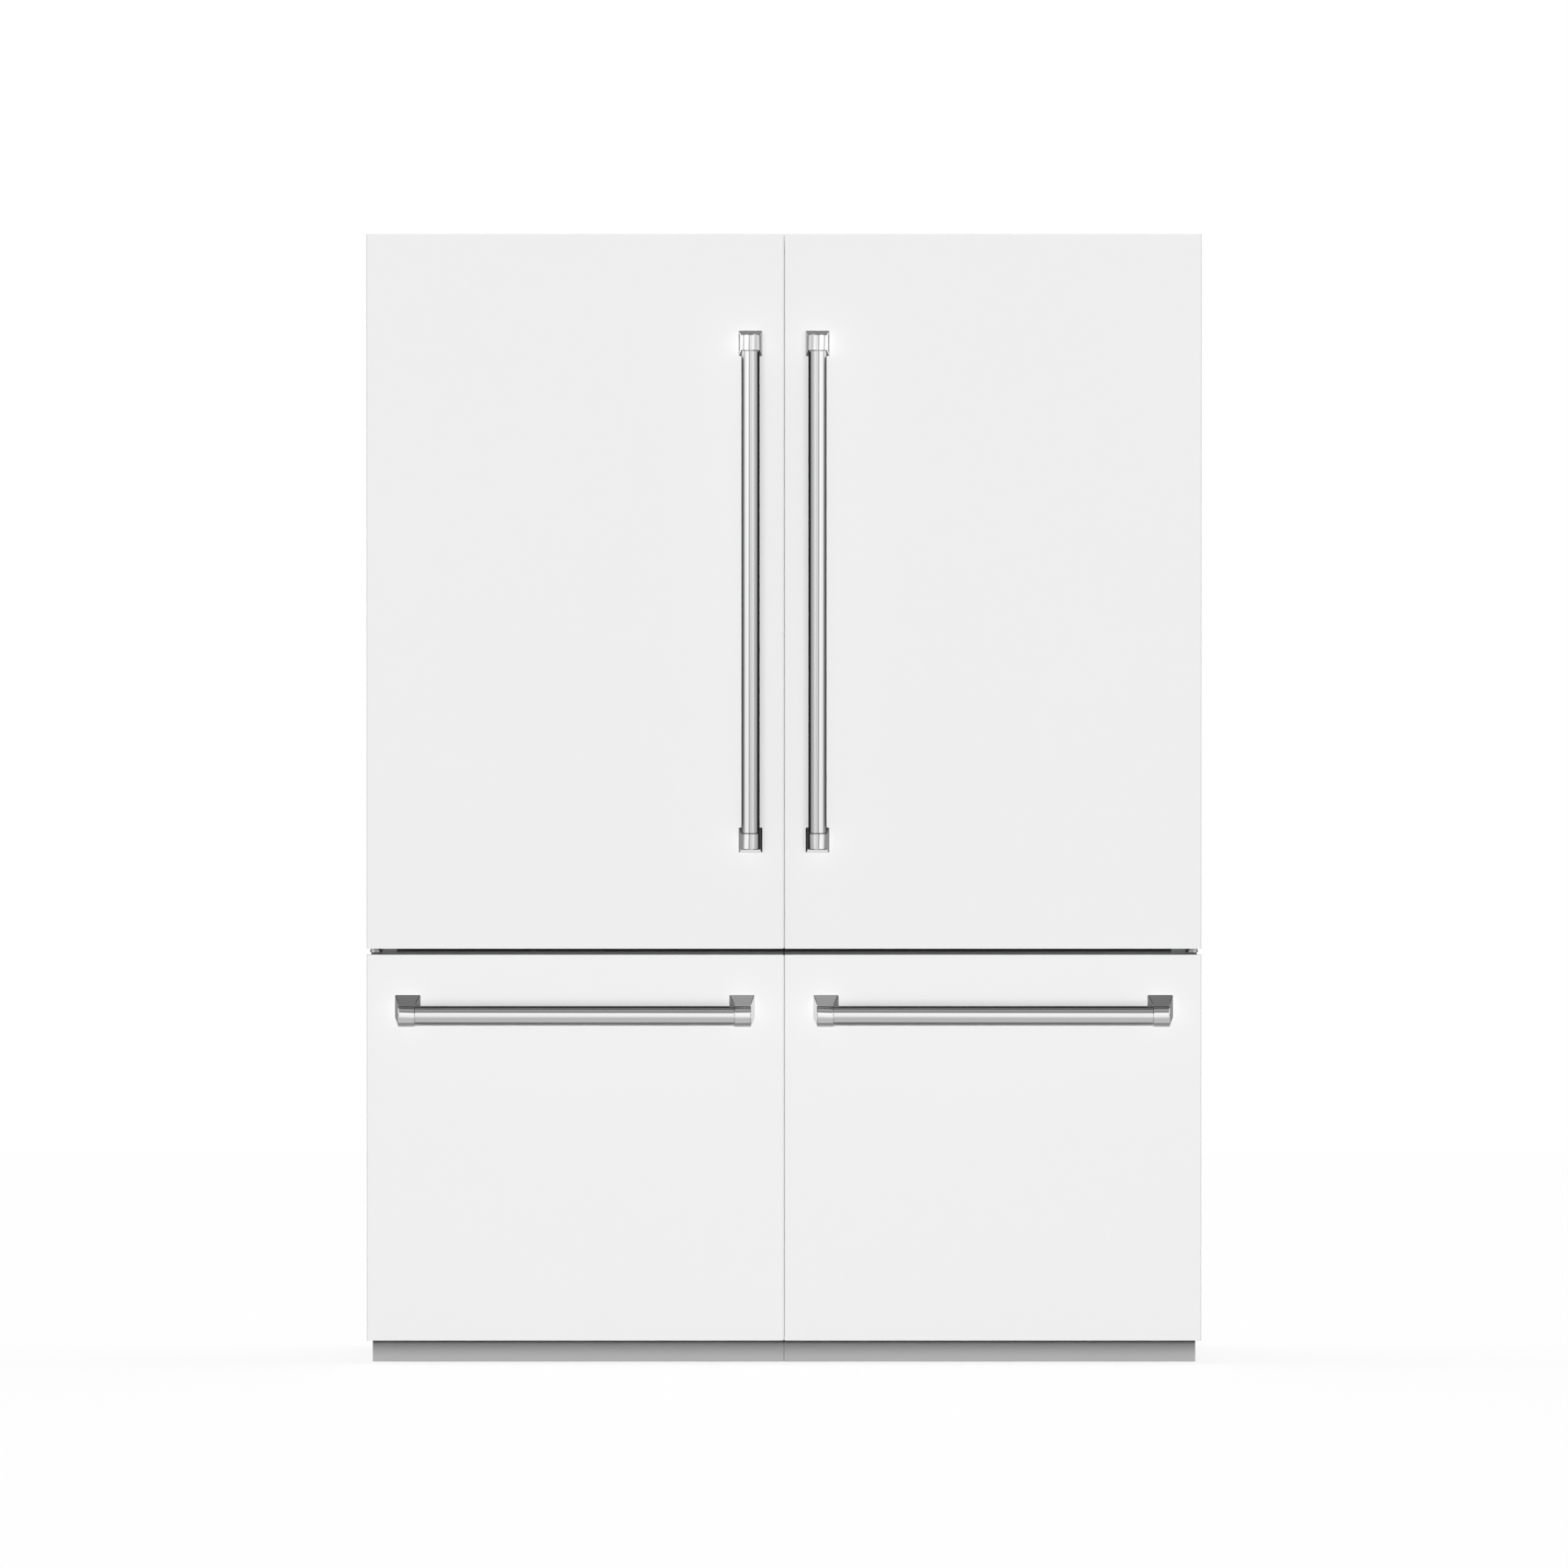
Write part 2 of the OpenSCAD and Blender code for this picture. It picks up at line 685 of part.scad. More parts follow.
// Height of the underside of door bin i
bin_zone_z0 = fridge_z0 + crisper_h + 60;
bin_zone_z1 = fridge_z1 - dike_gap - dike_w - bin_h - 60;
function bin_z(i) = bin_zone_z0 + (bin_zone_z1 - bin_zone_z0) * i / (bin_count - 1);
dike_x0 = cav_x0 + dike_gap;
dike_x1 = cav_x1 - dike_gap;
bin_x0 = dike_x0 + dike_w + touch;
bin_x1 = dike_x1 - dike_w - touch;
bin_y0 = y_case + pad_t + touch;
bin_r = 26;
bin_lip = 30;
lug_w = 6;
lug_h = 12;
pad_inset = gasket_inset + gasket_w + fit;
pad_r = 6;

module door_liner() {
    z0 = fridge_z0 + dike_gap;
    z1 = fridge_z1 - dike_gap;
    color(liner_white) {
        upright(x_out + pad_inset, x_in - pad_inset, door_z0 + pad_inset,
                door_z1 - pad_inset, y_case, y_case + pad_t, pad_r);
        upright_frame(dike_x0, dike_x1, z0, z1, y_case + pad_t, y_case + dike_d, dike_w, 12);
        // lugs that the bins hook on
        for (k = [0:bin_count - 1], side = [0, 1])
            across(side == 0 ? dike_x0 + dike_w : dike_x1 - dike_w - lug_w,
                   side == 0 ? dike_x0 + dike_w + lug_w : dike_x1 - dike_w, [
                [y_case + pad_t, bin_z(k) - touch - lug_h],
                [y_case + dike_d, bin_z(k) - touch],
                [y_case + pad_t, bin_z(k) - touch]
            ]);
    }
}

// Plan of a bin: square at the back, rounded at the front
module bin_plan(inset) {
    w = bin_x1 - bin_x0 - 2 * inset;
    d = bin_d - 2 * inset;
    r = bin_r - inset;
    translate([bin_x0 + inset, bin_y0 + inset]) {
        square([w, d - r]);
        translate([r, 0]) square([w - 2 * r, d]);
        for (x = [r, w - r]) translate([x, d - r]) circle(r);
    }
}

// A bin whose back wall is open above a low lip
module door_bin(z) {
    color(clear) translate([0, 0, z]) difference() {
        linear_extrude(bin_h) bin_plan(0);
        translate([0, 0, tub_t]) linear_extrude(bin_h) bin_plan(tub_t);
        block(bin_x0 + bin_r, bin_x1 - bin_r, bin_y0 - eps, bin_y0 + tub_t + eps,
              bin_lip, bin_h + eps);
    }
}

module drawer_case() {
    color(dark_grey) difference() {
        union() {
            case_pan(drawer_z0 + case_inset, drawer_z1 - case_inset, drawer_studs);
            upright(x_out + pad_inset, x_in - pad_inset, drawer_z0 + pad_inset,
                    drawer_z1 - pad_inset, y_case, y_case + pad_t, pad_r);
        }
        gasket_groove(drawer_z0, drawer_z1);
    }
}

// ---------------------------------------------------------------- freezer drawer and slides

slide_l = drawer_travel + 10;
slide_y0 = y_front + 8;
slide_rise = 130;
slide_z0 = step_z + slide_rise;
slide_z1 = slide_z0 + slide_h;
cover_y = cav_y1 - evaporator_d;
basket_clear = 6;
arm_t = 2;
arm_x0 = cav_x0 + slide_w + touch;
basket_x0 = arm_x0 + arm_t + 1;
basket_x1 = 2 * cav_mid - basket_x0;
basket_y0 = y_case + pad_t + 4;
basket_y1 = cover_y - basket_clear;
basket_step_y = step_y - basket_clear;
basket_z0 = freezer_z0 + 10;
basket_z1 = basket_z0 + basket_h;
basket_step_z = step_z + 10;
tray_y0 = basket_y0 + tub_t + 2;
tray_rim = 8;
tray_lug = 12;        // from the end of the tray to the end of its rim
tray_stop_y = tray_y0 + tray_d - tray_lug + tray_travel + 1;

// C-shaped slide member between x0 and x1, with its web on the x0 side
module slide_member(x0, x1, y0, y1, z0, z1) {
    difference() {
        block(x0, x1, y0, y1, z0, z1);
        block(x0 + slide_t, x1 + eps, y0 - eps, y1 + eps, z0 + slide_t, z1 - slide_t);
    }
}

// Step k of the nested members: outer 0, middle 1, inner 2
function nest(k) = k * (slide_t + 2 * touch);

// What the left wall of the freezer has, and the same on its right wall
module both_walls() {
    children();
    translate([2 * cav_mid, 0, 0]) mirror([1, 0, 0]) children();
}

// Nested member k of both slides, as wide as x1 allows
module slide_pair(k, x1) {
    both_walls() slide_member(cav_x0 + nest(k), x1, slide_y0, slide_y0 + slide_l,
                              slide_z0 + nest(k), slide_z1 - nest(k));
}

module outer_rails() {
    color(steel) slide_pair(0, cav_x0 + slide_w);
}

module middle_rails() {
    color(steel) slide_pair(1, cav_x0 + slide_w);
}

// Inner slide members, side arms and the feet that bolt to the drawer front
module drawer_frame() {
    foot_w = 26;
    foot_h = 150;
    foot_t = 3;
    edge = 14;
    slope = 60;
    y0 = y_case + pad_t;
    y1 = slide_y0 + slide_l;
    top = basket_z1 - tub_t;
    color(steel) {
        slide_pair(2, arm_x0);
        both_walls() {
            difference() {
                across(arm_x0, arm_x0 + arm_t, [
                    [y0, top - foot_h], [y0 + foot_t, top - foot_h], [slide_y0 + slope, slide_z0],
                    [y1, slide_z0], [y1, top], [y0, top]
                ]);
                block(arm_x0 - eps, arm_x0 + arm_t + eps, slide_y0 + slope, y1 - edge,
                      slide_z1 + edge / 2, top - edge);
            }
            block(arm_x0 - foot_w / 2, arm_x0 + arm_t, y0, y0 + foot_t, top - foot_h, top);
        }
    }
}

// Side profile of the basket, stepped over the machine compartment, drawn t inside its outline
function basket_profile(t, top) = [
    [basket_y0 + t, basket_z0 + t], [basket_step_y - t, basket_z0 + t],
    [basket_step_y - t, basket_step_z + t], [basket_y1 - t, basket_step_z + t],
    [basket_y1 - t, top], [basket_y0 + t, top]
];

module drawer_basket() {
    hole_w = 12;
    hole_h = 60;
    pitch = 24;
    n = floor((basket_step_y - basket_y0 - 40) / pitch);
    color(liner_white) difference() {
        union() {
            across(basket_x0, basket_x1, basket_profile(0, basket_z1));
            // rim that rests on the arms, with the stops of the tray behind it
            block(arm_x0 + touch, 2 * cav_mid - arm_x0 - touch, basket_y0, basket_y1,
                  basket_z1 - tub_t, basket_z1);
            both_walls() block(arm_x0 + touch, basket_x0 + tub_t, tray_stop_y, tray_stop_y + tub_t,
                               basket_z1 - tub_t, basket_z1 + tub_t);
        }
        across(basket_x0 + tub_t, basket_x1 - tub_t, basket_profile(tub_t, basket_z1 + eps));
        for (i = [0:n - 1], row = [0, 1])
            translate([basket_x0 - eps, basket_y0 + 26 + i * pitch, basket_z0 + 40 + row * 85])
                block(0, basket_x1 - basket_x0 + 2 * eps, 0, hole_w, 0, hole_h);
    }
}

// Ice tray that hangs between the basket's side rims and slides back
module ice_tray() {
    x0 = basket_x0 + tub_t + 1;
    x1 = basket_x1 - tub_t - 1;
    z1 = basket_z1 + touch + tub_t;
    color(clear) difference() {
        union() {
            lying(x0, x1, tray_y0, tray_y0 + tray_d, z1 - tray_h, z1, 12);
            block(x0 - tray_rim, x1 + tray_rim, tray_y0 + tray_lug,
                  tray_y0 + tray_d - tray_lug, z1 - tub_t, z1);
        }
        lying(x0 + tub_t, x1 - tub_t, tray_y0 + tub_t, tray_y0 + tray_d - tub_t,
              z1 - tray_h + tub_t, z1 + eps, 12 - tub_t);
    }
}

// ---------------------------------------------------------------- refrigerator inside

duct_w = 300;
duct_y = cav_y1 - duct_t;
shelf_y0 = bin_y0 + bin_d + 12;
shelf_y1 = duct_y - 4;
shelf_x0 = cav_x0 + 6;
shelf_x1 = cav_x1 - 6;
crisper_gap = 6;
crisper_z0 = fridge_z0 + crisper_gap;
cover_z = crisper_z0 + crisper_h + 8;
shelf_zone = fridge_z1 - cover_z;
function shelf_z(i) = cover_z + shelf_zone * i / (shelf_count + 1);
track_w = 16;
track_d = 10;
track_x = [cav_mid - duct_w / 2 - 50, cav_mid + duct_w / 2 + 50];

module glass_shelf(z) {
    color(clear) lying(shelf_x0 + 4, shelf_x1 - 4, shelf_y0 + 4, shelf_y1 - 4, z, z + glass_t, 3);
}

// Front and rear trims with a groove for the glass
module shelf_trim(z) {
    lip = 10;
    zc = z + glass_t / 2;
    color(liner_white) difference() {
        union() {
            block(shelf_x0, shelf_x1, shelf_y0, shelf_y0 + lip + 4, zc - trim_h / 2, zc + trim_h / 2);
            block(shelf_x0, shelf_x1, shelf_y1 - lip - 4, shelf_y1, zc - trim_h / 2, zc + trim_h / 2);
        }
        lying(shelf_x0 + 4 - fit, shelf_x1 - 4 + fit, shelf_y0 + 4 - fit, shelf_y1 - 4 + fit,
              z - fit, z + glass_t + fit, 3);
    }
}

// Cantilever arm under a shelf, hooked in a track
module shelf_arm(x, z) {
    t = 3;
    top = z + glass_t / 2 - trim_h / 2;
    color(steel) across(x - t / 2, x + t / 2, [
        [shelf_y0 + 6, top], [shelf_y0 + 6, top - 6], [shelf_y1 - 40, top - 26],
        [cav_y1 - track_d, top - 30], [cav_y1 - track_d / 2, top - 30],
        [cav_y1 - track_d / 2, top], [shelf_y0 + 6, top]
    ]);
}

module track(x) {
    z0 = cover_z + trim_h;
    z1 = fridge_z1 - 40;
    slot_w = 4;
    color(steel) difference() {
        block(x - track_w / 2, x + track_w / 2, cav_y1 - track_d, cav_y1, z0 - 60, z1);
        block(x - track_w / 2 + 1.5, x + track_w / 2 - 1.5, cav_y1 - track_d + 1.5, cav_y1 + eps,
              z0 - 60 - eps, z1 + eps);
        block(x - slot_w / 2, x + slot_w / 2, cav_y1 - track_d - eps, cav_y1 - track_d + 2,
              z0 - 50, z1 - 10);
    }
}

crisper_x = [[shelf_x0, cav_mid - 5], [cav_mid + 5, shelf_x1]];
crisper_y0 = y_front + dike_d - gasket_gap + crisper_travel + 4;
crisper_y1 = shelf_y1 - 8;
runner_h = 14;
runner_t = 3;
runner_w = 9;

// Runners under the crisper cover: one on each side wall and one between the crispers
module crisper_runners() {
    z1 = cover_z + glass_t / 2 - trim_h / 2;
    z0 = z1 - runner_h;
    color(liner_white) {
        block(cav_mid - runner_t / 2, cav_mid + runner_t / 2, crisper_y0, crisper_y1, z0, z1);
        block(cav_mid - runner_w, cav_mid + runner_w, crisper_y0, crisper_y1, z0 - runner_t, z0);
        for (side = [0, 1]) translate([2 * side * cav_mid, 0, 0]) mirror([side, 0, 0]) {
            block(cav_x0, shelf_x0 + 6, crisper_y0, crisper_y1, z0 - runner_t, z0);
            block(cav_x0, shelf_x0 + 2, crisper_y0, crisper_y1, z0, z1);
        }
    }
}

// A crisper whose side rims ride on the runners
module crisper(k) {
    z1 = cover_z + glass_t / 2 - trim_h / 2 - 4;
    rim_z = cover_z + glass_t / 2 - trim_h / 2 - runner_h + touch;
    x0 = crisper_x[k][0] + (k == 0 ? 8 : 6);
    x1 = crisper_x[k][1] - (k == 0 ? 6 : 8);
    color(clear) difference() {
        union() {
            lying(x0, x1, crisper_y0, crisper_y1 - 4, crisper_z0, z1, 14);
            block(x0 - 5, x1 + 5, crisper_y0 + 14, crisper_y1 - 18, rim_z, rim_z + tub_t);
            // finger lip along the top of the front
            block(x0 + 30, x1 - 30, crisper_y0 - 12, crisper_y0 + tub_t, z1 - 26, z1 - 20);
        }
        lying(x0 + tub_t, x1 - tub_t, crisper_y0 + tub_t, crisper_y1 - 4 - tub_t,
              crisper_z0 + tub_t, z1 + eps, 14 - tub_t);
    }
}

// Moulded duct on the back wall with its outlet slots
module fridge_duct() {
    z0 = cover_z + 40;
    z1 = fridge_z1 - 30;
    n = 2 * shelf_count + 2;
    color(liner_white) difference() {
        upright(cav_mid - duct_w / 2, cav_mid + duct_w / 2, z0, z1, duct_y, cav_y1, 18);
        upright(cav_mid - duct_w / 2 + 3, cav_mid + duct_w / 2 - 3, z0 + 3, z1 - 3,
                duct_y + 3, cav_y1 + eps, 15);
        for (i = [1:n], side = [-1, 1])
            slot_cut(cav_mid + side * duct_w / 4, z0 + (z1 - z0) * i / (n + 1), 90, 8,
                     duct_y - eps, duct_y + 3 + eps);
    }
}

fan_z = freezer_z1 - 92;
fan_x = cav_mid;
fan_t = 20;
fan_recess = 14;
hub_web = 3;
shaft_l = fan_t - hub_web;
cover_t = 3;
ring_y = cover_y + cover_t + fan_recess;
guard_t = 2;

// Cover of the evaporator with its return slots, fan ring and fan guard
module evaporator_cover() {
    slot_w = 8;
    n = 14;
    ring_d = freezer_fan_d + 22;
    open_d = freezer_fan_d + 6;
    y0 = ring_y - fan_t - guard_t - 1;
    color(liner_white) {
        difference() {
            union() {
                upright(cav_x0 + fit, cav_x1 - fit, step_z + fit, freezer_z1 - fit, cover_y,
                        cover_y + cover_t, liner_r - fit);
                rod_y(fan_x, y0, ring_y, fan_z, ring_d);
            }
            rod_y(fan_x, y0 - eps, ring_y + eps, fan_z, open_d);
            for (i = [0:n - 1])
                slot_cut(fan_x + (i - (n - 1) / 2) * 30, step_z + 44, slot_w, 40,
                         cover_y - eps, cover_y + cover_t + eps);
        }
        for (d = [open_d * 0.3, open_d * 0.55, open_d * 0.8]) difference() {
            rod_y(fan_x, y0, y0 + guard_t, fan_z, d);
            rod_y(fan_x, y0 - eps, y0 + guard_t + eps, fan_z, d - 2 * guard_t);
        }
        block(fan_x - open_d / 2 - 1, fan_x + open_d / 2 + 1, y0, y0 + guard_t,
              fan_z - guard_t / 2, fan_z + guard_t / 2);
        block(fan_x - guard_t / 2, fan_x + guard_t / 2, y0, y0 + guard_t,
              fan_z - open_d / 2 - 1, fan_z + open_d / 2 + 1);
    }
}

// Finned coil: fins across X, tubes along X with bends at the ends
module coil(x0, x1, y0, y1, z0, z1, fins, rows) {
    d = 8;
    pitch = (z1 - z0) / rows;
    ym = (y0 + y1) / 2;
    color("#b9bec2") {
        for (i = [0:fins - 1])
            translate([x0 + 12 + i * (x1 - x0 - 25) / (fins - 1), 0, 0])
                block(0, 1, y0, y1, z0, z1);
        for (j = [0:rows - 1]) rod_x(x0 + d, x1 - d, ym, z0 + (j + 0.5) * pitch, d);
        for (j = [0:rows - 2]) translate([j % 2 == 0 ? x1 - d : x0 + d, ym, z0 + (j + 1) * pitch])
            rotate([90, 0, 0]) rotate([0, 0, j % 2 == 0 ? -90 : 90])
                rotate_extrude(angle = 180) translate([pitch / 2, 0]) circle(d = d);
    }
}

module evaporator() {
    coil(cav_x0 + 60, cav_x1 - 60, cover_y + cover_t + 6, cav_y1, step_z + 90,
         fan_z - freezer_fan_d / 2 - 24, 18, 5);
}

// Compressor on the left of the machine compartment, then fan and condenser
shell_x = casing_x0 + 130;
shell_y = machine_y0 + machine_d / 2;
plate_t = 2.5;
mount_h = 16;
shell_z = casing_z0 + sheet_t + mount_h + plate_t;
fan_plate_x = shell_x + shell_d / 2 + 70;
condenser_z = casing_z0 + machine_h / 2;

module compressor() {
    r = shell_d / 2;
    color(black) {
        translate([shell_x, shell_y, shell_z]) rotate_extrude() polygon(concat(
            [[0, 0], [r * 0.6, 0]],
            [for (a = [-90:15:0]) [r * 0.7 + r * 0.3 * cos(a), r * 0.3 + r * 0.3 * sin(a)]],
            [[r, shell_h * 0.55], [r + 3, shell_h * 0.55], [r + 3, shell_h * 0.55 + 5],
             [r, shell_h * 0.55 + 5]],
            [for (a = [0:15:90]) [r * 0.55 + r * 0.45 * cos(a), shell_h - r * 0.45 + r * 0.45 * sin(a)]],
            [[0, shell_h]]
        ));
        difference() {
            lying(shell_x - r - 22, shell_x + r + 22, shell_y - r * 0.55, shell_y + r * 0.55,
                  shell_z - plate_t, shell_z, 8);
            for (dx = [-1, 1], dy = [-1, 1])
                rod_z(shell_x + dx * (r + 10), shell_y + dy * r * 0.35, shell_z - plate_t - eps,
                      shell_z + eps, 8);
        }
    }
    // suction and discharge stubs
    color("#b87333") for (dz = [0.35, 0.45])
        rod_x(shell_x + r * 0.8, shell_x + r + 26, shell_y, shell_z + shell_h * dz, 8);
    // rubber grommets between the base plate and the cabinet floor
    color("#303030") for (dx = [-1, 1], dy = [-1, 1])
        rod_z(shell_x + dx * (r + 10), shell_y + dy * r * 0.35, casing_z0 + sheet_t,
              shell_z - plate_t, 20);
}

condenser_l = 260;
inlet_clear = 60;
condenser_x0 = fan_plate_x + 50;
condenser_x1 = min(condenser_x0 + condenser_l, inlet_x - inlet_clear);

module condenser() {
    coil(condenser_x0, condenser_x1, machine_y0 + 20, machine_y0 + 100,
         casing_z0 + sheet_t, machine_z1 - 12, 18, 5);
}

motor_d = 38;
spoke_w = 8;
spoke_t = 3;
shaft_d = 5;

// Motor on three spokes in a round opening, with its shaft along -Z
module motor_spider(opening_d, depth, spoke_z = 0) {
    cylinder(d = motor_d, h = depth);
    for (a = [30:120:359]) rotate([0, 0, a])
        translate([motor_d / 2 - 2, -spoke_w / 2, spoke_z])
            cube([opening_d / 2 - motor_d / 2 + 3, spoke_w, spoke_t]);
    translate([0, 0, -shaft_l]) cylinder(d = shaft_d, h = shaft_l + 1);
}

module fan_mount() {
    open_d = condenser_fan_d + 8;
    color(black) {
        // shroud plate of the condenser fan, standing across the machine compartment
        difference() {
            translate([fan_plate_x, machine_y0 + 2, casing_z0 + sheet_t])
                cube([4, machine_d - 8, machine_h - sheet_t - 4]);
            rod_x(fan_plate_x - eps, fan_plate_x + 4 + eps, shell_y, condenser_z, open_d);
        }
        translate([fan_plate_x, shell_y, condenser_z]) rotate([0, 90, 0])
            motor_spider(open_d, 24, 0.5);
        // spider of the freezer fan behind its ring
        translate([fan_x, ring_y, fan_z]) rotate([-90, 0, 0]) motor_spider(freezer_fan_d + 16, 22);
    }
}

// Cambered section of a blade, chord along X, bulging towards +Y
module blade_section(chord, t) {
    camber_r = chord * 0.9;
    intersection() {
        translate([0, -camber_r]) difference() {
            circle(camber_r);
            circle(camber_r - t);
        }
        translate([-chord / 2, -chord]) square([chord, 2 * chord]);
    }
}

// Impeller with its axis along Z, centred in its own thickness
module impeller(d, t) {
    hub_d = d * 0.34;
    pitch_a = 32;
    chord = t * 0.8 / sin(pitch_a);
    color("#3a3c3e") difference() {
        union() {
            translate([0, 0, -t / 2]) cylinder(d = hub_d, h = t);
            intersection() {
                translate([0, 0, -t / 2]) cylinder(d = d, h = t);
                for (a = [0:360 / blade_count:359]) rotate([0, 0, a])
                    translate([hub_d * 0.3, 0, t * 0.16]) rotate([90, 0, 90]) rotate(pitch_a)
                        linear_extrude(d) blade_section(chord * 1.4, 2.2);
            }
        }
        translate([0, 0, -t / 2 + hub_web]) cylinder(d = shaft_d + 2 * pin_play, h = t);
    }
}

module condenser_fan() {
    translate([fan_plate_x - touch - fan_t / 2, shell_y, condenser_z]) rotate([0, 90, 0])
        impeller(condenser_fan_d, fan_t);
}

module freezer_fan() {
    translate([fan_x, ring_y - touch - fan_t / 2, fan_z]) rotate([-90, 0, 0])
        impeller(freezer_fan_d, fan_t);
}

module drain_pan() {
    x0 = condenser_x0;
    x1 = condenser_x1;
    y0 = machine_y0 + 106;
    y1 = y_casing - 8;
    z0 = casing_z0 + sheet_t;
    color(black) difference() {
        lying(x0, x1, y0, y1, z0, z0 + 45, 10);
        lying(x0 + 2, x1 - 2, y0 + 2, y1 - 2, z0 + 2, z0 + 45 + eps, 8);
    }
}

light_l = (cav_x1 - cav_x0) * 0.64;
light_y = y_front + 24;

module light_bar() {
    color("#fdfdf6") {
        block(cav_mid - light_l / 2, cav_mid + light_l / 2, light_y, light_y + 22,
              fridge_z1 - 8, fridge_z1);
        block(cav_mid - light_l * 0.29, cav_mid + light_l * 0.29, light_y, light_y + 16,
              freezer_z1 - 6, freezer_z1);
    }
}

// ---------------------------------------------------------------- nodes

module left_casing() { casing(); }
module right_casing() { mirror([1, 0, 0]) casing(); }
module insulation_foam() { both() insulation(); }
module fridge_liners() { both() fridge_liner(); }
module freezer_liners() { both() freezer_liner(); }
module machine_covers() { both() machine_cover(); }
module toe_kicks() { both() toe_kick(); }
module levelling_feet() { both() for (p = foot_places) levelling_foot(p); }
module hinge_brackets() { both() hinge_bracket_set(); }
module outer_slide_rails() { both() outer_rails(); }
module glass_shelves() { both() for (i = [0:shelf_count]) glass_shelf(shelf_z(i)); }
module shelf_frames() {
    both() {
        for (i = [0:shelf_count]) shelf_trim(shelf_z(i));
        for (i = [1:shelf_count], x = track_x) shelf_arm(x, shelf_z(i));
        for (x = track_x) track(x);
        crisper_runners();
    }
}
module duct_covers() { both() { fridge_duct(); evaporator_cover(); } }
module evaporators() { both() evaporator(); }
module condensers() { both() condenser(); }
module fan_mounts() { both() fan_mount(); }
module compressors() { both() compressor(); }
module drain_pans() { both() drain_pan(); }
module light_bars() { both() light_bar(); }
module power_inlets() { both() power_inlet(); }

module door_panel() { front_panel(door_z0, door_z1, door_studs); }
module door_bins() { for (k = [0:bin_count - 1]) door_bin(bin_z(k)); }
module door_bar() { on_door() handle_bar(door_handle_l); }
module door_brackets() { on_door() bracket_pair(door_handle_l, 0); }
module drawer_panel() { front_panel(drawer_z0, drawer_z1, drawer_studs); }
module drawer_bar() { on_drawer() handle_bar(drawer_handle_l); }
module drawer_brackets() { on_drawer() bracket_pair(drawer_handle_l, foot_rise); }

left_casing();
right_casing();
insulation_foam();
fridge_liners();
freezer_liners();
machine_covers();
toe_kicks();
levelling_feet();
hinge_brackets();
outer_slide_rails();
glass_shelves();
shelf_frames();
duct_covers();
evaporators();
condensers();
fan_mounts();
compressors();
drain_pans();
light_bars();
power_inlets();
door_panel();  // left_door_panel
door_case();  // left_door_case
door_liner();  // left_door_liner
gasket(door_z0, door_z1);  // left_door_gasket
door_bins();  // left_door_bins
door_bar();  // left_door_handle_bar
door_brackets();  // left_door_handle_brackets
mirror([1, 0, 0]) door_panel();  // right_door_panel
mirror([1, 0, 0]) door_case();  // right_door_case
mirror([1, 0, 0]) door_liner();  // right_door_liner
mirror([1, 0, 0]) gasket(door_z0, door_z1);  // right_door_gasket
mirror([1, 0, 0]) door_bins();  // right_door_bins
mirror([1, 0, 0]) door_bar();  // right_door_handle_bar
mirror([1, 0, 0]) door_brackets();  // right_door_handle_brackets
drawer_panel();  // left_drawer_panel
drawer_case();  // left_drawer_case
gasket(drawer_z0, drawer_z1);  // left_drawer_gasket
drawer_frame();  // left_drawer_frame
drawer_basket();  // left_drawer_basket
drawer_bar();  // left_drawer_handle_bar
drawer_brackets();  // left_drawer_handle_brackets
mirror([1, 0, 0]) drawer_panel();  // right_drawer_panel
mirror([1, 0, 0]) drawer_case();  // right_drawer_case
mirror([1, 0, 0]) gasket(drawer_z0, drawer_z1);  // right_drawer_gasket
mirror([1, 0, 0]) drawer_frame();  // right_drawer_frame
mirror([1, 0, 0]) drawer_basket();  // right_drawer_basket
mirror([1, 0, 0]) drawer_bar();  // right_drawer_handle_bar
mirror([1, 0, 0]) drawer_brackets();  // right_drawer_handle_brackets
middle_rails();  // left_middle_rails
mirror([1, 0, 0]) middle_rails();  // right_middle_rails
ice_tray();  // left_ice_tray
mirror([1, 0, 0]) ice_tray();  // right_ice_tray
crisper(0);  // left_outer_crisper
crisper(1);  // left_inner_crisper
mirror([1, 0, 0]) crisper(0);  // right_outer_crisper
mirror([1, 0, 0]) crisper(1);  // right_inner_crisper
condenser_fan();  // left_condenser_fan
mirror([1, 0, 0]) condenser_fan();  // right_condenser_fan
freezer_fan();  // left_freezer_fan
mirror([1, 0, 0]) freezer_fan();  // right_freezer_fan
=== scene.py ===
import math

import bmesh
import bpy
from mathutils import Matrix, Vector


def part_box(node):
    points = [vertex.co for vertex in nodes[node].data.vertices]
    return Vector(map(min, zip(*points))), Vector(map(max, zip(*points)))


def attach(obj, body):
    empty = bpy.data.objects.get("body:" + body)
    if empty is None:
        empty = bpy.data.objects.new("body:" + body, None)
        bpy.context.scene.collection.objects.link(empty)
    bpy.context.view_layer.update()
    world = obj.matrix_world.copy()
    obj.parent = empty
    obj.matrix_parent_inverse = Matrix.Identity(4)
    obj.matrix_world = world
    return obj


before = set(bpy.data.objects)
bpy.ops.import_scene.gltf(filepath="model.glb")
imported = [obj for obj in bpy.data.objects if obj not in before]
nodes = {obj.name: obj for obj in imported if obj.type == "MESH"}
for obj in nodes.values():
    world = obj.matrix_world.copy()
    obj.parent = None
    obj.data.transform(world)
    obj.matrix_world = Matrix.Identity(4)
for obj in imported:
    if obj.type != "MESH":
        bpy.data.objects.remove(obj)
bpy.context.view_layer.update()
scene = bpy.context.scene

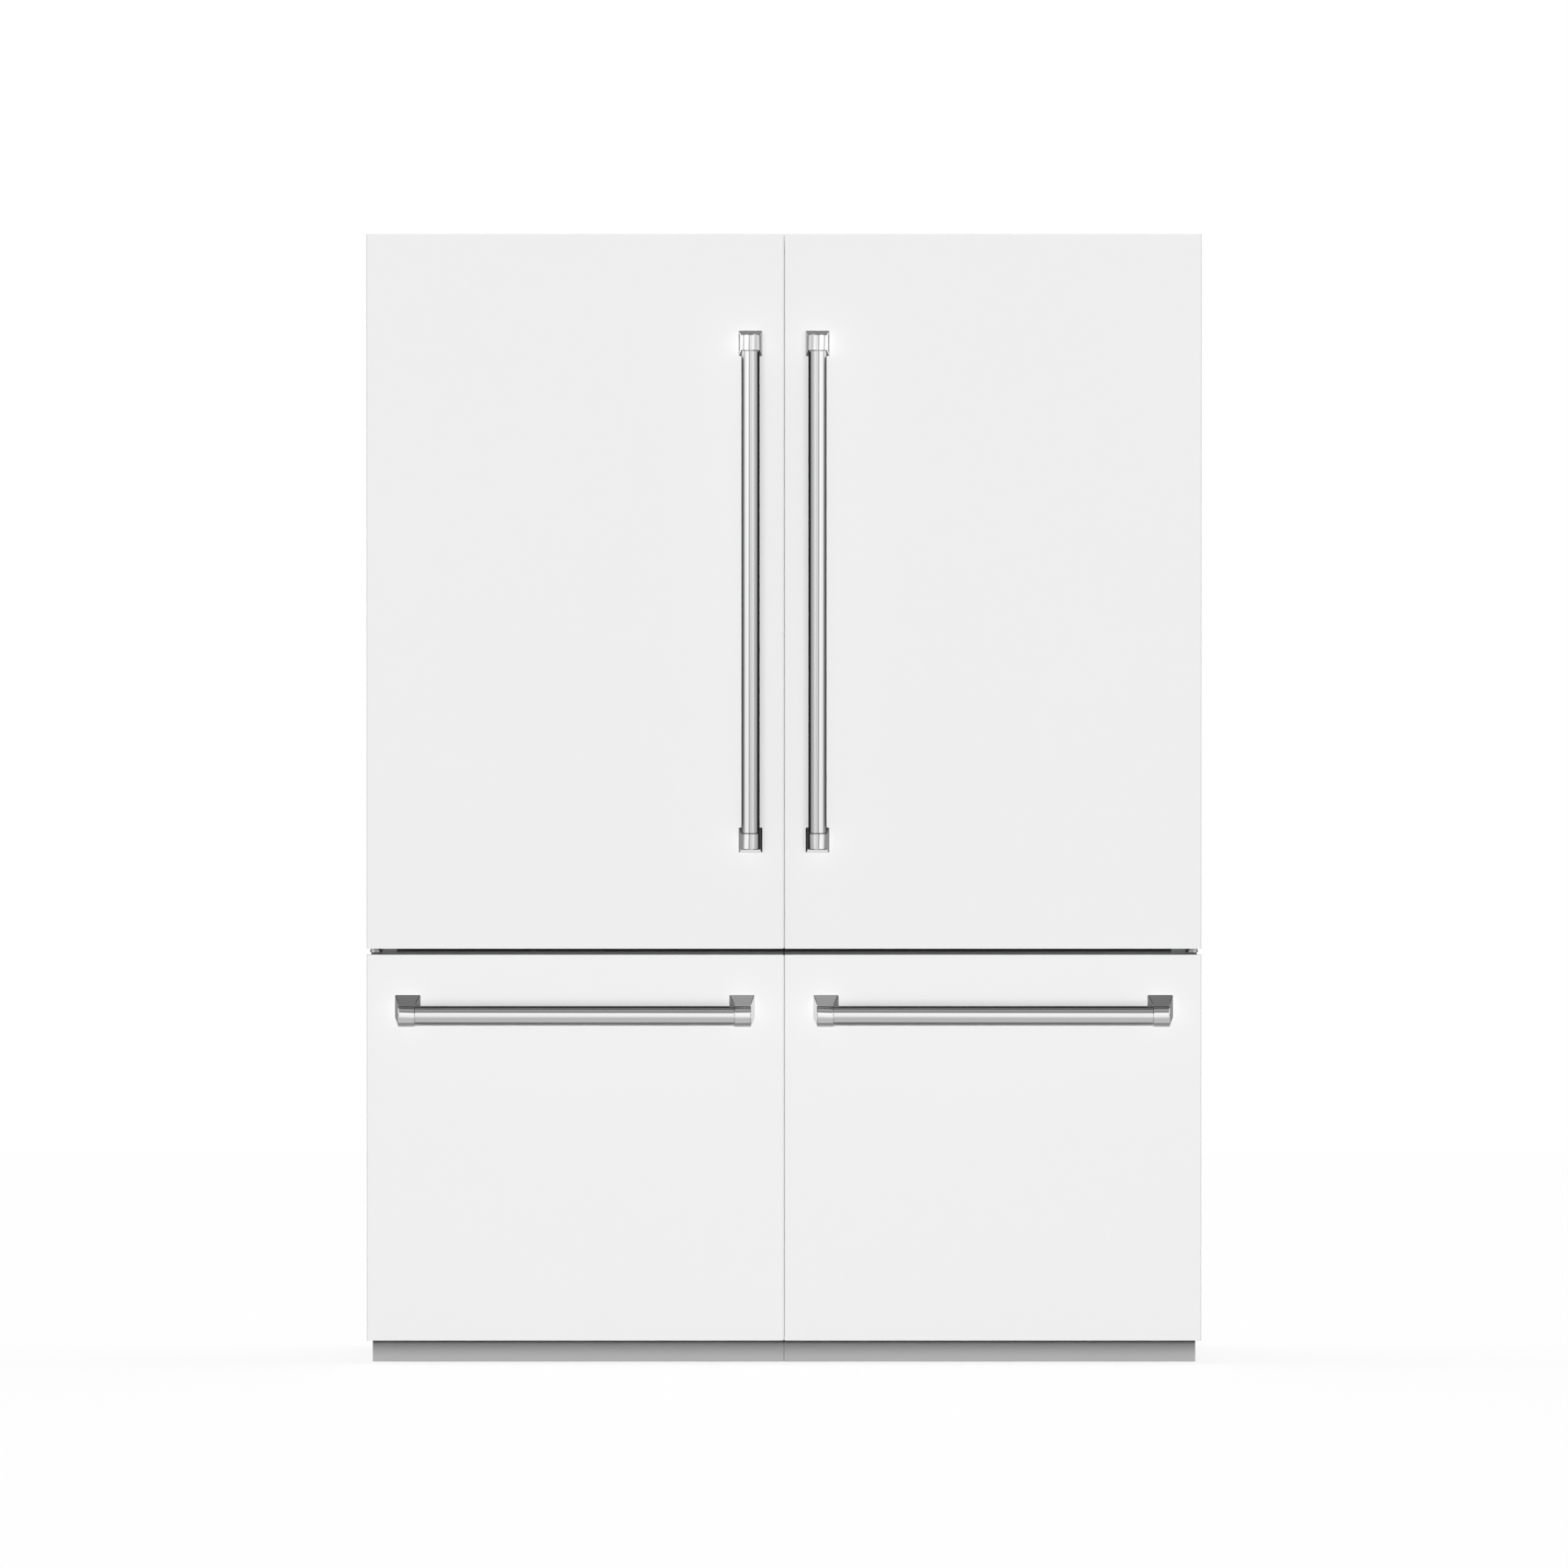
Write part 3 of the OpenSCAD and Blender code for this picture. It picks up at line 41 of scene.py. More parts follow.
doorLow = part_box("left_door_panel")[0]
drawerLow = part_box("left_drawer_panel")[0]
faceY = doorLow.y  # front of the doors and drawers
barLow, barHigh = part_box("left_door_handle_bar")
barX, barY = (barLow.x + barHigh.x) / 2, (barLow.y + barHigh.y) / 2

# far away, aimed near the middle of the height and tipped down by a degree
camera = {
    "distance": 28.0, "aimHeight": 1.0588, "pitch": 1.0, "frameWidth": 2.8624, "sensor": 36, "clipEnd": 200,
}


def addCamera(c):
    data = bpy.data.cameras.new("studioCamera")
    data.sensor_width = c["sensor"]
    data.lens = c["sensor"] * c["distance"] / c["frameWidth"]
    data.clip_end = c["clipEnd"]
    cam = bpy.data.objects.new("studioCamera", data)
    scene.collection.objects.link(cam)
    tilt = math.radians(c["pitch"])
    back = Vector((0, -math.cos(tilt), math.sin(tilt)))
    cam.location = Vector((0, faceY, c["aimHeight"])) + back * c["distance"]
    cam.rotation_euler = (math.pi / 2 - tilt, 0, 0)
    scene.camera = cam


addCamera(camera)
scene.view_settings.view_transform = "Standard"
print("camera placed")


def place(tree, kind, **values):
    node = tree.nodes.new(kind)
    for key, value in values.items():
        if key.startswith("in_"):
            node.inputs[key[3:].replace("_", " ")].default_value = value
        else:
            setattr(node, key, value)
    return node


def math2(tree, operation, a, b=None, clamp=False):
    node = place(tree, "ShaderNodeMath", operation=operation, use_clamp=clamp)
    for i, value in enumerate((a, b)):
        if value is None:
            continue
        if isinstance(value, (int, float)):
            node.inputs[i].default_value = value
        else:
            tree.links.new(value, node.inputs[i])
    return node.outputs[0]


def ramp(tree, factor, stops):
    node = place(tree, "ShaderNodeValToRGB")
    bar = node.color_ramp
    while len(bar.elements) > 1:
        bar.elements.remove(bar.elements[-1])
    for i, (at, value) in enumerate(stops):
        element = bar.elements[0] if i == 0 else bar.elements.new(at)
        element.position = at
        element.color = (value, value, value, 1)
    tree.links.new(factor, node.inputs["Fac"])
    return node.outputs["Color"]


def places(tree):  # X, Y and Z in the piece's own frame, which at rest is the part's
    where = place(tree, "ShaderNodeSeparateXYZ")
    tree.links.new(place(tree, "ShaderNodeTexCoord").outputs["Object"], where.inputs[0])
    return where.outputs


def mixColour(tree, factor, a, b, blend="MIX"):
    node = place(tree, "ShaderNodeMix", data_type="RGBA", blend_type=blend)
    # 6, 7 and 2 are the colour sockets
    for socket, value in ((node.inputs[0], factor), (node.inputs[6], a), (node.inputs[7], b)):
        if isinstance(value, (int, float)):
            socket.default_value = value
        elif isinstance(value, tuple):
            socket.default_value = (*value, 1)
        else:
            tree.links.new(value, socket)
    return node.outputs[2]


def mixShader(tree, factor, a, b):
    node = place(tree, "ShaderNodeMixShader")
    for i, socket in enumerate((factor, a, b)):
        tree.links.new(socket, node.inputs[i])
    return node.outputs[0]


def newGroup(name, inputs, outputs):
    group = bpy.data.node_groups.new(name, "ShaderNodeTree")
    for label, default in inputs:
        kind = "NodeSocketColor" if isinstance(default, tuple) else "NodeSocketFloat"
        socket = group.interface.new_socket(label, in_out="INPUT", socket_type=kind)
        socket.default_value = (*default, 1) if isinstance(default, tuple) else default
    for label, kind in outputs:
        group.interface.new_socket(label, in_out="OUTPUT", socket_type=kind)
    return group, group.nodes.new("NodeGroupInput"), group.nodes.new("NodeGroupOutput")


def useGroup(tree, group, **values):
    node = tree.nodes.new("ShaderNodeGroup")
    node.node_tree = group
    for key, value in values.items():
        socket = node.inputs[key.replace("_", " ")]
        socket.default_value = (*value, 1) if isinstance(value, tuple) else value
    return node


def makeMouldGrain():  # fine orange peel of moulded plastic and lacquer
    group, start, end = newGroup(
        "mouldGrain",
        [("Scale", 900.0), ("Cloud Scale", 6.0), ("Colour", (0.8, 0.8, 0.8)), ("Tint", (0.7, 0.7, 0.7)),
         ("Variation", 0.3), ("Roughness", 0.4), ("Spread", 0.1)],
        [("Colour", "NodeSocketColor"), ("Roughness", "NodeSocketFloat"), ("Height", "NodeSocketFloat")],
    )
    where = place(group, "ShaderNodeTexCoord").outputs["Object"]
    fine = place(group, "ShaderNodeTexNoise", in_Detail=2.0, in_Roughness=0.5)
    cloud = place(group, "ShaderNodeTexNoise", in_Detail=3.0, in_Roughness=0.6)
    for noise, label in ((fine, "Scale"), (cloud, "Cloud Scale")):
        group.links.new(where, noise.inputs["Vector"])
        group.links.new(start.outputs[label], noise.inputs["Scale"])
    amount = math2(group, "MULTIPLY", cloud.outputs["Fac"], start.outputs["Variation"])
    colour = mixColour(group, amount, start.outputs["Colour"], start.outputs["Tint"])
    centred = math2(group, "SUBTRACT", cloud.outputs["Fac"], 0.5)
    spread = math2(group, "MULTIPLY", centred, start.outputs["Spread"])
    group.links.new(colour, end.inputs["Colour"])
    group.links.new(math2(group, "ADD", start.outputs["Roughness"], spread, True), end.inputs["Roughness"])
    group.links.new(fine.outputs["Fac"], end.inputs["Height"])
    return group


def makeBrushLines():  # long fine scratches, stretched along one axis of the piece
    group, start, end = newGroup(
        "brushLines",
        [("Across X", 900.0), ("Across Y", 900.0), ("Across Z", 6.0), ("Colour", (0.66, 0.66, 0.66)),
         ("Dark", (0.5, 0.5, 0.5)), ("Variation", 0.4), ("Roughness", 0.2), ("Spread", 0.12)],
        [("Colour", "NodeSocketColor"), ("Roughness", "NodeSocketFloat"), ("Height", "NodeSocketFloat")],
    )
    where = place(group, "ShaderNodeTexCoord").outputs["Object"]
    stretch = place(group, "ShaderNodeCombineXYZ")
    for axis in "XYZ":
        group.links.new(start.outputs["Across " + axis], stretch.inputs[axis])
    scaled = place(group, "ShaderNodeVectorMath", operation="MULTIPLY")
    group.links.new(where, scaled.inputs[0])
    group.links.new(stretch.outputs[0], scaled.inputs[1])
    fine = place(group, "ShaderNodeTexNoise", in_Scale=1.0, in_Detail=4.0, in_Roughness=0.7)
    coarse = place(group, "ShaderNodeTexNoise", in_Scale=0.17, in_Detail=2.0, in_Roughness=0.6)
    for noise in (fine, coarse):
        group.links.new(scaled.outputs[0], noise.inputs["Vector"])
    both = math2(group, "MULTIPLY", math2(group, "ADD", fine.outputs["Fac"], coarse.outputs["Fac"]), 0.5)
    amount = math2(group, "MULTIPLY", both, start.outputs["Variation"])
    colour = mixColour(group, amount, start.outputs["Colour"], start.outputs["Dark"])
    spread = math2(group, "MULTIPLY", math2(group, "SUBTRACT", both, 0.5), start.outputs["Spread"])
    group.links.new(colour, end.inputs["Colour"])
    group.links.new(math2(group, "ADD", start.outputs["Roughness"], spread, True), end.inputs["Roughness"])
    group.links.new(both, end.inputs["Height"])
    return group


mouldGrain = makeMouldGrain()
brushLines = makeBrushLines()
print("shared effects built")


def newMaterial(name, **values):
    material = bpy.data.materials.new(name)
    material.use_nodes = True
    tree = material.node_tree
    shader = tree.nodes["Principled BSDF"]
    for key, value in values.items():
        shader.inputs[key.replace("_", " ")].default_value = value
    return material, tree, shader


def surfaceFrom(tree, shader, group, strength, distance):
    tree.links.new(group.outputs["Colour"], shader.inputs["Base Color"])
    tree.links.new(group.outputs["Roughness"], shader.inputs["Roughness"])
    bump = place(tree, "ShaderNodeBump", in_Strength=strength, in_Distance=distance)
    tree.links.new(group.outputs["Height"], bump.inputs["Height"])
    tree.links.new(bump.outputs["Normal"], shader.inputs["Normal"])


def paintOf(material):  # its tree, the socket for its colour, and what feeds that so far
    tree = material.node_tree
    socket = tree.nodes["Principled BSDF"].inputs["Base Color"]
    return tree, socket, socket.links[0].from_socket


def moulded(name, colour, tint, rough, grain=900.0, bump=0.1, depth=0.0002, variation=0.35,
            spread=0.1, cloud=6.0, **values):
    material, tree, shader = newMaterial(name, **values)
    group = useGroup(tree, mouldGrain, Scale=grain, Cloud_Scale=cloud, Colour=colour, Tint=tint,
                     Variation=variation, Roughness=rough, Spread=spread)
    surfaceFrom(tree, shader, group, bump, depth)
    return material


brushStretch = 160  # how many times longer than wide the scratches are


def brushed(name, colour, dark, rough, along="Z", lines=900.0, bump=0.15, depth=0.0001,
            variation=0.5, spread=0.12, **values):
    material, tree, shader = newMaterial(name, Metallic=1.0, **values)
    across = {"X": lines, "Y": lines, "Z": lines, along: lines / brushStretch}
    group = useGroup(tree, brushLines, Across_X=across["X"], Across_Y=across["Y"], Across_Z=across["Z"],
                     Colour=colour, Dark=dark, Variation=variation, Roughness=rough, Spread=spread)
    surfaceFrom(tree, shader, group, bump, depth)
    return material


# lacquered board of the fronts, with a band along the outer edge
front = {
    "white": (0.863, 0.863, 0.863), "cloudShade": 0.985, "edge": (0.66, 0.66, 0.665), "edgeWidth": 0.0013,
}


def corners(spots):  # the lowest and the highest corner round some points
    return [Vector([pick(v[i] for v in spots) for i in range(3)]) for pick in (min, max)]


def spotsOf(name, side=None):  # the points of a solid, or of its left or right half
    spots = [v.co for v in nodes[name].data.vertices]
    return spots if side is None else [v for v in spots if (v.x < 0) == (side == "left")]


def footOf(brackets, axis, atHigh):  # the corners of one of a pair of bracket feet
    spots = spotsOf(brackets)
    middle = (min(v[axis] for v in spots) + max(v[axis] for v in spots)) / 2
    return corners([v for v in spots if (v[axis] > middle) == atHigh])


# painted reflection: how bright the lacquer looks in polished steel, patch by patch, and how far each patch
# of it reaches
shine = {
    "plain": 0.2, "seamSide": 0.1, "overBar": 0.05, "underBar": 0.35, "capSeamSide": 0.12,
    "reach": 0.015, "longReach": 0.06, "outline": 0.002, "margin": 0.001,
    "doorFlank": 0.007, "drawerFlank": 0.022, "belowBar": 0.03, "besideBar": 0.3, "everywhere": 3.0,
}
footShine = {  # beside each foot: outer side, seam side, above, below
    "doorTop": (1.55, 0.6, 0.28, 0.2),
    "doorLow": (0.45, 0.03, 0.2, 1.0),
    "drawerOuter": (0.3, 0.25, 0.22, 0.35),
    "drawerInner": (0.25, 0.85, 0.42, 0.35),
}


def between(tree, value, low, high):
    above = math2(tree, "GREATER_THAN", value, low)
    return math2(tree, "MULTIPLY", above, math2(tree, "LESS_THAN", value, high))


def patch(tree, x, z, shade, spot, value):
    x0, x1, z0, z1 = spot
    inside = math2(tree, "MULTIPLY", between(tree, x, x0, x1), between(tree, z, z0, z1))
    return mixColour(tree, inside, shade, (value, value, value))


def shineSpots(side, kind, s):  # the painted reflection patches of one front, with how bright steel sees each
    mirror = -1 if side == "right" else 1
    far = s["everywhere"]
    spots = []

    def add(x0, x1, z0, z1, value):
        a, b = sorted((x0 * mirror, x1 * mirror))
        spots.append(((a, b, z0, z1), value))

    name = "left_" + kind + "_handle_brackets"
    low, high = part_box("left_" + kind + "_handle_bar")
    if kind == "door":
        reach = s["reach"]
        add(barX, 0.0, -far, far, s["seamSide"])
        add(-far, 0.0, 0.0, low.z - s["belowBar"], s["overBar"])
        feet = (("doorTop", 2, True), ("doorLow", 2, False))
    else:
        reach = s["longReach"]
        middle = (low.z + high.z) / 2
        add(-far, 0.0, middle, middle + s["besideBar"], s["overBar"])
        add(-far, 0.0, middle - s["besideBar"], middle, s["underBar"])
        feet = (("drawerOuter", 0, False), ("drawerInner", 0, True))
    for key, axis, atHigh in feet:
        low, high = footOf(name, axis, atHigh)
        outer, seamSide, above, below = footShine[key]
        add(low.x, high.x, high.z, high.z + reach, above)
        add(low.x, high.x, low.z - reach, low.z, below)
        z0, z1 = low.z - s["margin"], high.z + s["margin"]
        if kind == "door":
            add(-far, low.x, z0, z1, outer)
            add(low.x - s["outline"], low.x, z0, z1, s["plain"])
            add(high.x, 0.0, z0, z1, s["capSeamSide"])
            add(high.x, high.x + s["doorFlank"], z0, z1, seamSide)
        else:
            add(low.x - s["drawerFlank"], low.x, z0, z1, outer)
            add(high.x, high.x + s["drawerFlank"], z0, z1, seamSide)
    return spots


def frontLacquer(name, side, kind, outerX, f):
    tint = tuple(f["cloudShade"] * v for v in f["white"])
    material = moulded(name, f["white"], tint, rough=0.42, grain=1400.0, bump=0.04, depth=0.00005,
                       variation=0.5, spread=0.08, cloud=3.0, Specular_IOR_Level=0.25)
    tree, socket, paint = paintOf(material)
    x, _, z = places(tree)
    gap = math2(tree, "ABSOLUTE", math2(tree, "SUBTRACT", x, outerX))
    colour = mixColour(tree, math2(tree, "LESS_THAN", gap, f["edgeWidth"]), paint, f["edge"])
    tone = (shine["plain"],) * 3
    for spot, value in shineSpots(side, kind, shine):
        tone = patch(tree, x, z, tone, spot, value)
    # painted reflection: only glossy rays see the lacquer darkened patch by patch
    seen = place(tree, "ShaderNodeLightPath").outputs["Is Glossy Ray"]
    shade = mixColour(tree, seen, (1, 1, 1), tone)
    tree.links.new(mixColour(tree, 1.0, colour, shade, "MULTIPLY"), socket)
    return material


casing = {
    "paint": (0.30, 0.303, 0.31), "tint": (0.26, 0.263, 0.27), "groove": (0.03, 0.03, 0.031),
    "grooveWidth": 0.001,
}


def casingPaint(name, c):  # painted shade of a narrow gap: dark where the two cabinets meet
    material = moulded(name, c["paint"], c["tint"], rough=0.45, grain=700.0, bump=0.12)
    tree, socket, paint = paintOf(material)
    # painted shade: a near-black line is painted along the seam between the two cabinets
    atSeam = math2(tree, "LESS_THAN", math2(tree, "ABSOLUTE", places(tree)["X"]), c["grooveWidth"])
    tree.links.new(mixColour(tree, atSeam, paint, c["groove"]), socket)
    return material


clear = {"cloudShade": 0.93, "blend": 0.35, "edgeAlpha": 0.55}  # more solid where seen edge on


def clearPlastic(name, colour, rough, alpha, c):
    tint = tuple(c["cloudShade"] * v for v in colour)
    material = moulded(name, colour, tint, rough, grain=260.0, bump=0.05, variation=0.5, spread=0.08,
                       cloud=9.0)
    tree = material.node_tree
    facing = place(tree, "ShaderNodeLayerWeight", in_Blend=c["blend"]).outputs["Facing"]
    solid = math2(tree, "ADD", math2(tree, "MULTIPLY", facing, c["edgeAlpha"]), alpha, True)
    tree.links.new(solid, tree.nodes["Principled BSDF"].inputs["Alpha"])
    return material


# colour and darker scratches of the handles' steel
uprightSteel = (0.70, 0.70, 0.705), (0.57, 0.57, 0.575)
levelSteel = (0.77, 0.77, 0.775), (0.64, 0.64, 0.645)
bracketSteel = (0.78, 0.78, 0.785), (0.7, 0.7, 0.705)
barPolish = {"rough": 0.12, "Specular_Tint": (0.1, 0.1, 0.1, 1)}
bracketPolish = {"rough": 0.1, "bump": 0.06, "variation": 0.3, "spread": 0.06}

materials = {
    "leftDoorFront": frontLacquer("leftDoorLacquer", "left", "door", doorLow.x, front),
    "rightDoorFront": frontLacquer("rightDoorLacquer", "right", "door", -doorLow.x, front),
    "leftDrawerFront": frontLacquer("leftDrawerLacquer", "left", "drawer", drawerLow.x, front),
    "rightDrawerFront": frontLacquer("rightDrawerLacquer", "right", "drawer", -drawerLow.x, front),
    "uprightBar": brushed("uprightBarSteel", *uprightSteel, along="Z", **barPolish),
    "levelBar": brushed("levelBarSteel", *levelSteel, along="X", **barPolish),
    "uprightBracket": brushed("uprightBracketSteel", *bracketSteel, along="Z", **bracketPolish),
    "levelBracket": brushed("levelBracketSteel", *bracketSteel, along="X", **bracketPolish),
    "slideSteel": brushed("zincSlideSteel", (0.62, 0.63, 0.64), (0.45, 0.46, 0.47),
                          rough=0.32, along="Y", lines=300.0),
    "hinge": brushed("hingeSteel", (0.5, 0.505, 0.51), (0.36, 0.365, 0.37),
                     rough=0.36, along="Y", lines=260.0),
    "coil": brushed("coilAluminium", (0.76, 0.77, 0.78), (0.6, 0.61, 0.62),
                    rough=0.34, along="X", lines=220.0),
    "screw": brushed("screwZinc", (0.55, 0.555, 0.56), (0.4, 0.405, 0.41),
                     rough=0.3, along="Y", lines=500.0),
    "casing": casingPaint("casingPaint", casing),
    "backCover": moulded("backCoverPaint", (0.42, 0.425, 0.43), (0.36, 0.365, 0.37),
                         rough=0.5, grain=800.0, bump=0.15),
    "plinth": moulded("plinthPaint", (0.60, 0.60, 0.605), (0.56, 0.56, 0.565),
                      rough=0.5, grain=900.0, bump=0.08),
    "strip": moulded("plinthStripRubber", (0.42, 0.42, 0.425), (0.37, 0.37, 0.375),
                     rough=0.55, grain=900.0, bump=0.12),
    "foot": moulded("footRubber", (0.03, 0.03, 0.032), (0.06, 0.06, 0.06),
                    rough=0.6, grain=500.0, bump=0.2),
    "foam": moulded("foamSkin", (0.80, 0.72, 0.50), (0.66, 0.56, 0.34),
                    rough=0.8, grain=140.0, bump=0.5, depth=0.001, cloud=14.0),
    "case": moulded("caseSkin", (0.055, 0.056, 0.058), (0.075, 0.075, 0.075),
                    rough=0.5, grain=500.0, bump=0.2),
    "gasket": moulded("gasketRubber", (0.2, 0.202, 0.205), (0.15, 0.152, 0.155),
                      rough=0.62, grain=800.0, bump=0.25),
    "seal": moulded("seamSealRubber", (0.68, 0.68, 0.685), (0.62, 0.62, 0.625),
                    rough=0.55, grain=900.0, bump=0.15),
    "liner": moulded("linerPlastic", (0.87, 0.875, 0.88), (0.82, 0.83, 0.84),
                     rough=0.32, grain=500.0, bump=0.06),
    "trim": moulded("shelfTrimPlastic", (0.84, 0.845, 0.85), (0.78, 0.785, 0.79),
                    rough=0.36, grain=600.0, bump=0.08),
    "duct": moulded("ductPlastic", (0.85, 0.855, 0.86), (0.80, 0.805, 0.81),
                    rough=0.38, grain=420.0, bump=0.1),
    "basket": moulded("basketPlastic", (0.86, 0.865, 0.87), (0.8, 0.805, 0.81),
                      rough=0.36, grain=420.0, bump=0.1),
    "light": moulded("lightDiffuser", (0.95, 0.95, 0.92), (0.9, 0.9, 0.87),
                     rough=0.5, grain=700.0, bump=0.1,
                     Emission_Color=(1, 0.97, 0.9, 1), Emission_Strength=0.25),
    "condenser": moulded("condenserEnamel", (0.03, 0.03, 0.032), (0.08, 0.078, 0.075),
                         rough=0.5, grain=200.0, bump=0.25),
    "compressor": moulded("compressorEnamel", (0.012, 0.012, 0.013), (0.035, 0.033, 0.03),
                          rough=0.22, grain=120.0, bump=0.12, depth=0.0006, Coat_Weight=0.4),
    "fan": moulded("fanPlastic", (0.04, 0.042, 0.045), (0.07, 0.07, 0.07),
                   rough=0.42, grain=500.0, bump=0.12),
    "black": moulded("blackPlastic", (0.02, 0.02, 0.021), (0.04, 0.04, 0.04),
                     rough=0.5, grain=420.0, bump=0.2),
    "pan": moulded("panPlastic", (0.04, 0.04, 0.042), (0.09, 0.085, 0.08),
                   rough=0.6, grain=260.0, bump=0.3),
    "clear": clearPlastic("clearPlastic", (0.80, 0.87, 0.89),
                          rough=0.08, alpha=0.28, c=clear),
    "glass": clearPlastic("shelfGlass", (0.70, 0.86, 0.82),
                          rough=0.04, alpha=0.22, c=clear),
}

# painted shade on the door handles by height: the bars darker towards the bottom, the brackets darker at the
# low neck and in a band at the high crease; factors, then lengths in metres
handleShadeByHeight = {
    "barLow": 0.84, "barHigh": 1.0, "bracketLow": 0.8, "lowNeckShade": 0.3, "highCrease": 0.8,
    "neckReach": 0.009, "crease": 0.0026, "step": 0.000325, "fade": 0.05,
}


def toneByHeight(key, stops):  # stops are heights in metres with a factor each
    tree, socket, colour = paintOf(materials[key])
    bottom, top = stops[0][0], stops[-1][0]
    share = math2(tree, "DIVIDE", math2(tree, "SUBTRACT", places(tree)["Z"], bottom), top - bottom, True)
    tone = ramp(tree, share, [((at - bottom) / (top - bottom), factor) for at, factor in stops])
    tree.links.new(mixColour(tree, 1.0, colour, tone, "MULTIPLY"), socket)


def shadeHandles(t):
    lowFoot, lowHead = (v.z for v in footOf("left_door_handle_brackets", 2, False))
    highFoot, highHead = (v.z for v in footOf("left_door_handle_brackets", 2, True))
    # painted shade: the bar is darker towards the bottom
    toneByHeight("uprightBar", [(lowFoot, t["barLow"]), (highHead, t["barHigh"])])
    lowCrease = lowHead - t["neckReach"] - t["crease"]
    highCrease = highFoot + t["neckReach"]
    # painted shade on the brackets: darker low down, much darker at the low neck and in a thin band at the
    # high crease
    toneByHeight("uprightBracket", [
        (lowFoot, t["bracketLow"]), (lowCrease - t["step"], t["bracketLow"]),
        (lowCrease, t["lowNeckShade"]), (lowHead, t["lowNeckShade"]),
        (lowHead + t["fade"], 1.0), (highCrease - t["step"], 1.0),
        (highCrease, t["highCrease"]), (highCrease + t["crease"], t["highCrease"]),
        (highCrease + t["crease"] + t["step"], 1.0), (highHead, 1.0),
    ])


shadeHandles(handleShadeByHeight)

# which finish each solid has, by its name or by what follows left_ or right_
finishOf = {
    "left_casing": "casing", "right_casing": "casing", "insulation_foam": "foam", "fridge_liners": "liner",
    "freezer_liners": "liner", "machine_covers": "backCover", "toe_kicks": "plinth", "levelling_feet": "foot",
    "hinge_brackets": "hinge", "outer_slide_rails": "slideSteel", "glass_shelves": "glass",
    "shelf_frames": "trim", "duct_covers": "duct", "evaporators": "coil", "condensers": "condenser",
    "fan_mounts": "black", "compressors": "compressor", "drain_pans": "pan", "light_bars": "light",
    "power_inlets": "black",
}
finishOfPart = {
    "door_case": "case", "door_liner": "liner", "door_gasket": "gasket", "door_bins": "clear",
    "door_handle_bar": "uprightBar", "door_handle_brackets": "uprightBracket", "drawer_case": "case",
    "drawer_gasket": "gasket", "drawer_frame": "slideSteel", "drawer_basket": "basket",
    "drawer_handle_bar": "levelBar", "drawer_handle_brackets": "levelBracket", "middle_rails": "slideSteel",
    "ice_tray": "clear", "outer_crisper": "clear", "inner_crisper": "clear", "condenser_fan": "fan",
    "freezer_fan": "fan",
}


def finishFor(name):
    if name in finishOf:
        return finishOf[name]
    side, part = name.split("_", 1)
    if part.endswith("panel"):
        return side + part.split("_")[0].title() + "Front"
    return finishOfPart[part]


for name, thing in nodes.items():
    thing.data.materials.clear()
    thing.data.materials.append(materials[finishFor(name)])
print("materials assigned")

# widths of the soft edges, by the end of the node's name
rounding = {
    "panel": 0.0004, "casing": 0.0008, "case": 0.0012, "handle_brackets": 0.0009, "handle_bar": 0.0004,
    "liner": 0.0012, "bins": 0.0008, "crisper": 0.0008, "tray": 0.0008, "basket": 0.0006,
    "toe_kicks": 0.0004, "shelf_frames": 0.0006, "glass_shelves": 0.0008,
}
# lengths in metres and angles in degrees
softening = {"weld": 0.00002, "atCorner": 0.00001, "bevelAngle": 40, "splitAngle": 35, "flatWeight": 100}


def soften(thing, width, s, outerOnly=False):
    weld = thing.modifiers.new("weldSeams", "WELD")
    weld.merge_threshold = s["weld"]
    bevel = thing.modifiers.new("softEdge", "BEVEL")
    bevel.width = width
    bevel.segments = 2
    if outerOnly:
        group = thing.vertex_groups.new(name="outerCorners")
        low, high = corners([v.co for v in thing.data.vertices])
        atCorner = [
            v.index for v in thing.data.vertices
            if all(min(v.co[i] - low[i], high[i] - v.co[i]) < s["atCorner"] for i in range(3))
        ]
        group.add(atCorner, 1.0, "REPLACE")
        bevel.limit_method = "VGROUP"
        bevel.vertex_group = "outerCorners"
    else:
        bevel.limit_method = "ANGLE"
        bevel.angle_limit = math.radians(s["bevelAngle"])
    bevel.use_clamp_overlap = True
    split = thing.modifiers.new("sharpEdges", "EDGE_SPLIT")
    split.split_angle = math.radians(s["splitAngle"])
    flat = thing.modifiers.new("flatFaces", "WEIGHTED_NORMAL")
    flat.mode = "FACE_AREA"
    flat.weight = s["flatWeight"]


for name, thing in nodes.items():
    for ending, width in rounding.items():
        if name.endswith(ending):
            soften(thing, width, softening, outerOnly=ending == "panel")
            break
print("edges softened")


def joinRings(work, rings):
    for below, above in zip(rings, rings[1:]):
        for i in range(len(below)):
            j = (i + 1) % len(below)
            work.faces.new((below[i], below[j], above[j], above[i]))
    work.faces.new(rings[0])
    work.faces.new(rings[-1])


def makePiece(name, work, material):
    bmesh.ops.recalc_face_normals(work, faces=work.faces)
    mesh = bpy.data.meshes.new(name)
    work.to_mesh(mesh)
    work.free()
    piece = bpy.data.objects.new(name, mesh)
    scene.collection.objects.link(piece)
    mesh.materials.append(materials[material])
    return piece


# thin seals on the seam-side edges of the left fronts
seal = {
    "width": 0.0026, "setBack": 0.0016, "depth": 0.006, "rounding": 0.0009, "lipRounding": 0.00036,
    "endGap": 0.001, "sink": 0.0002, "softEdge": 0.0003,
}


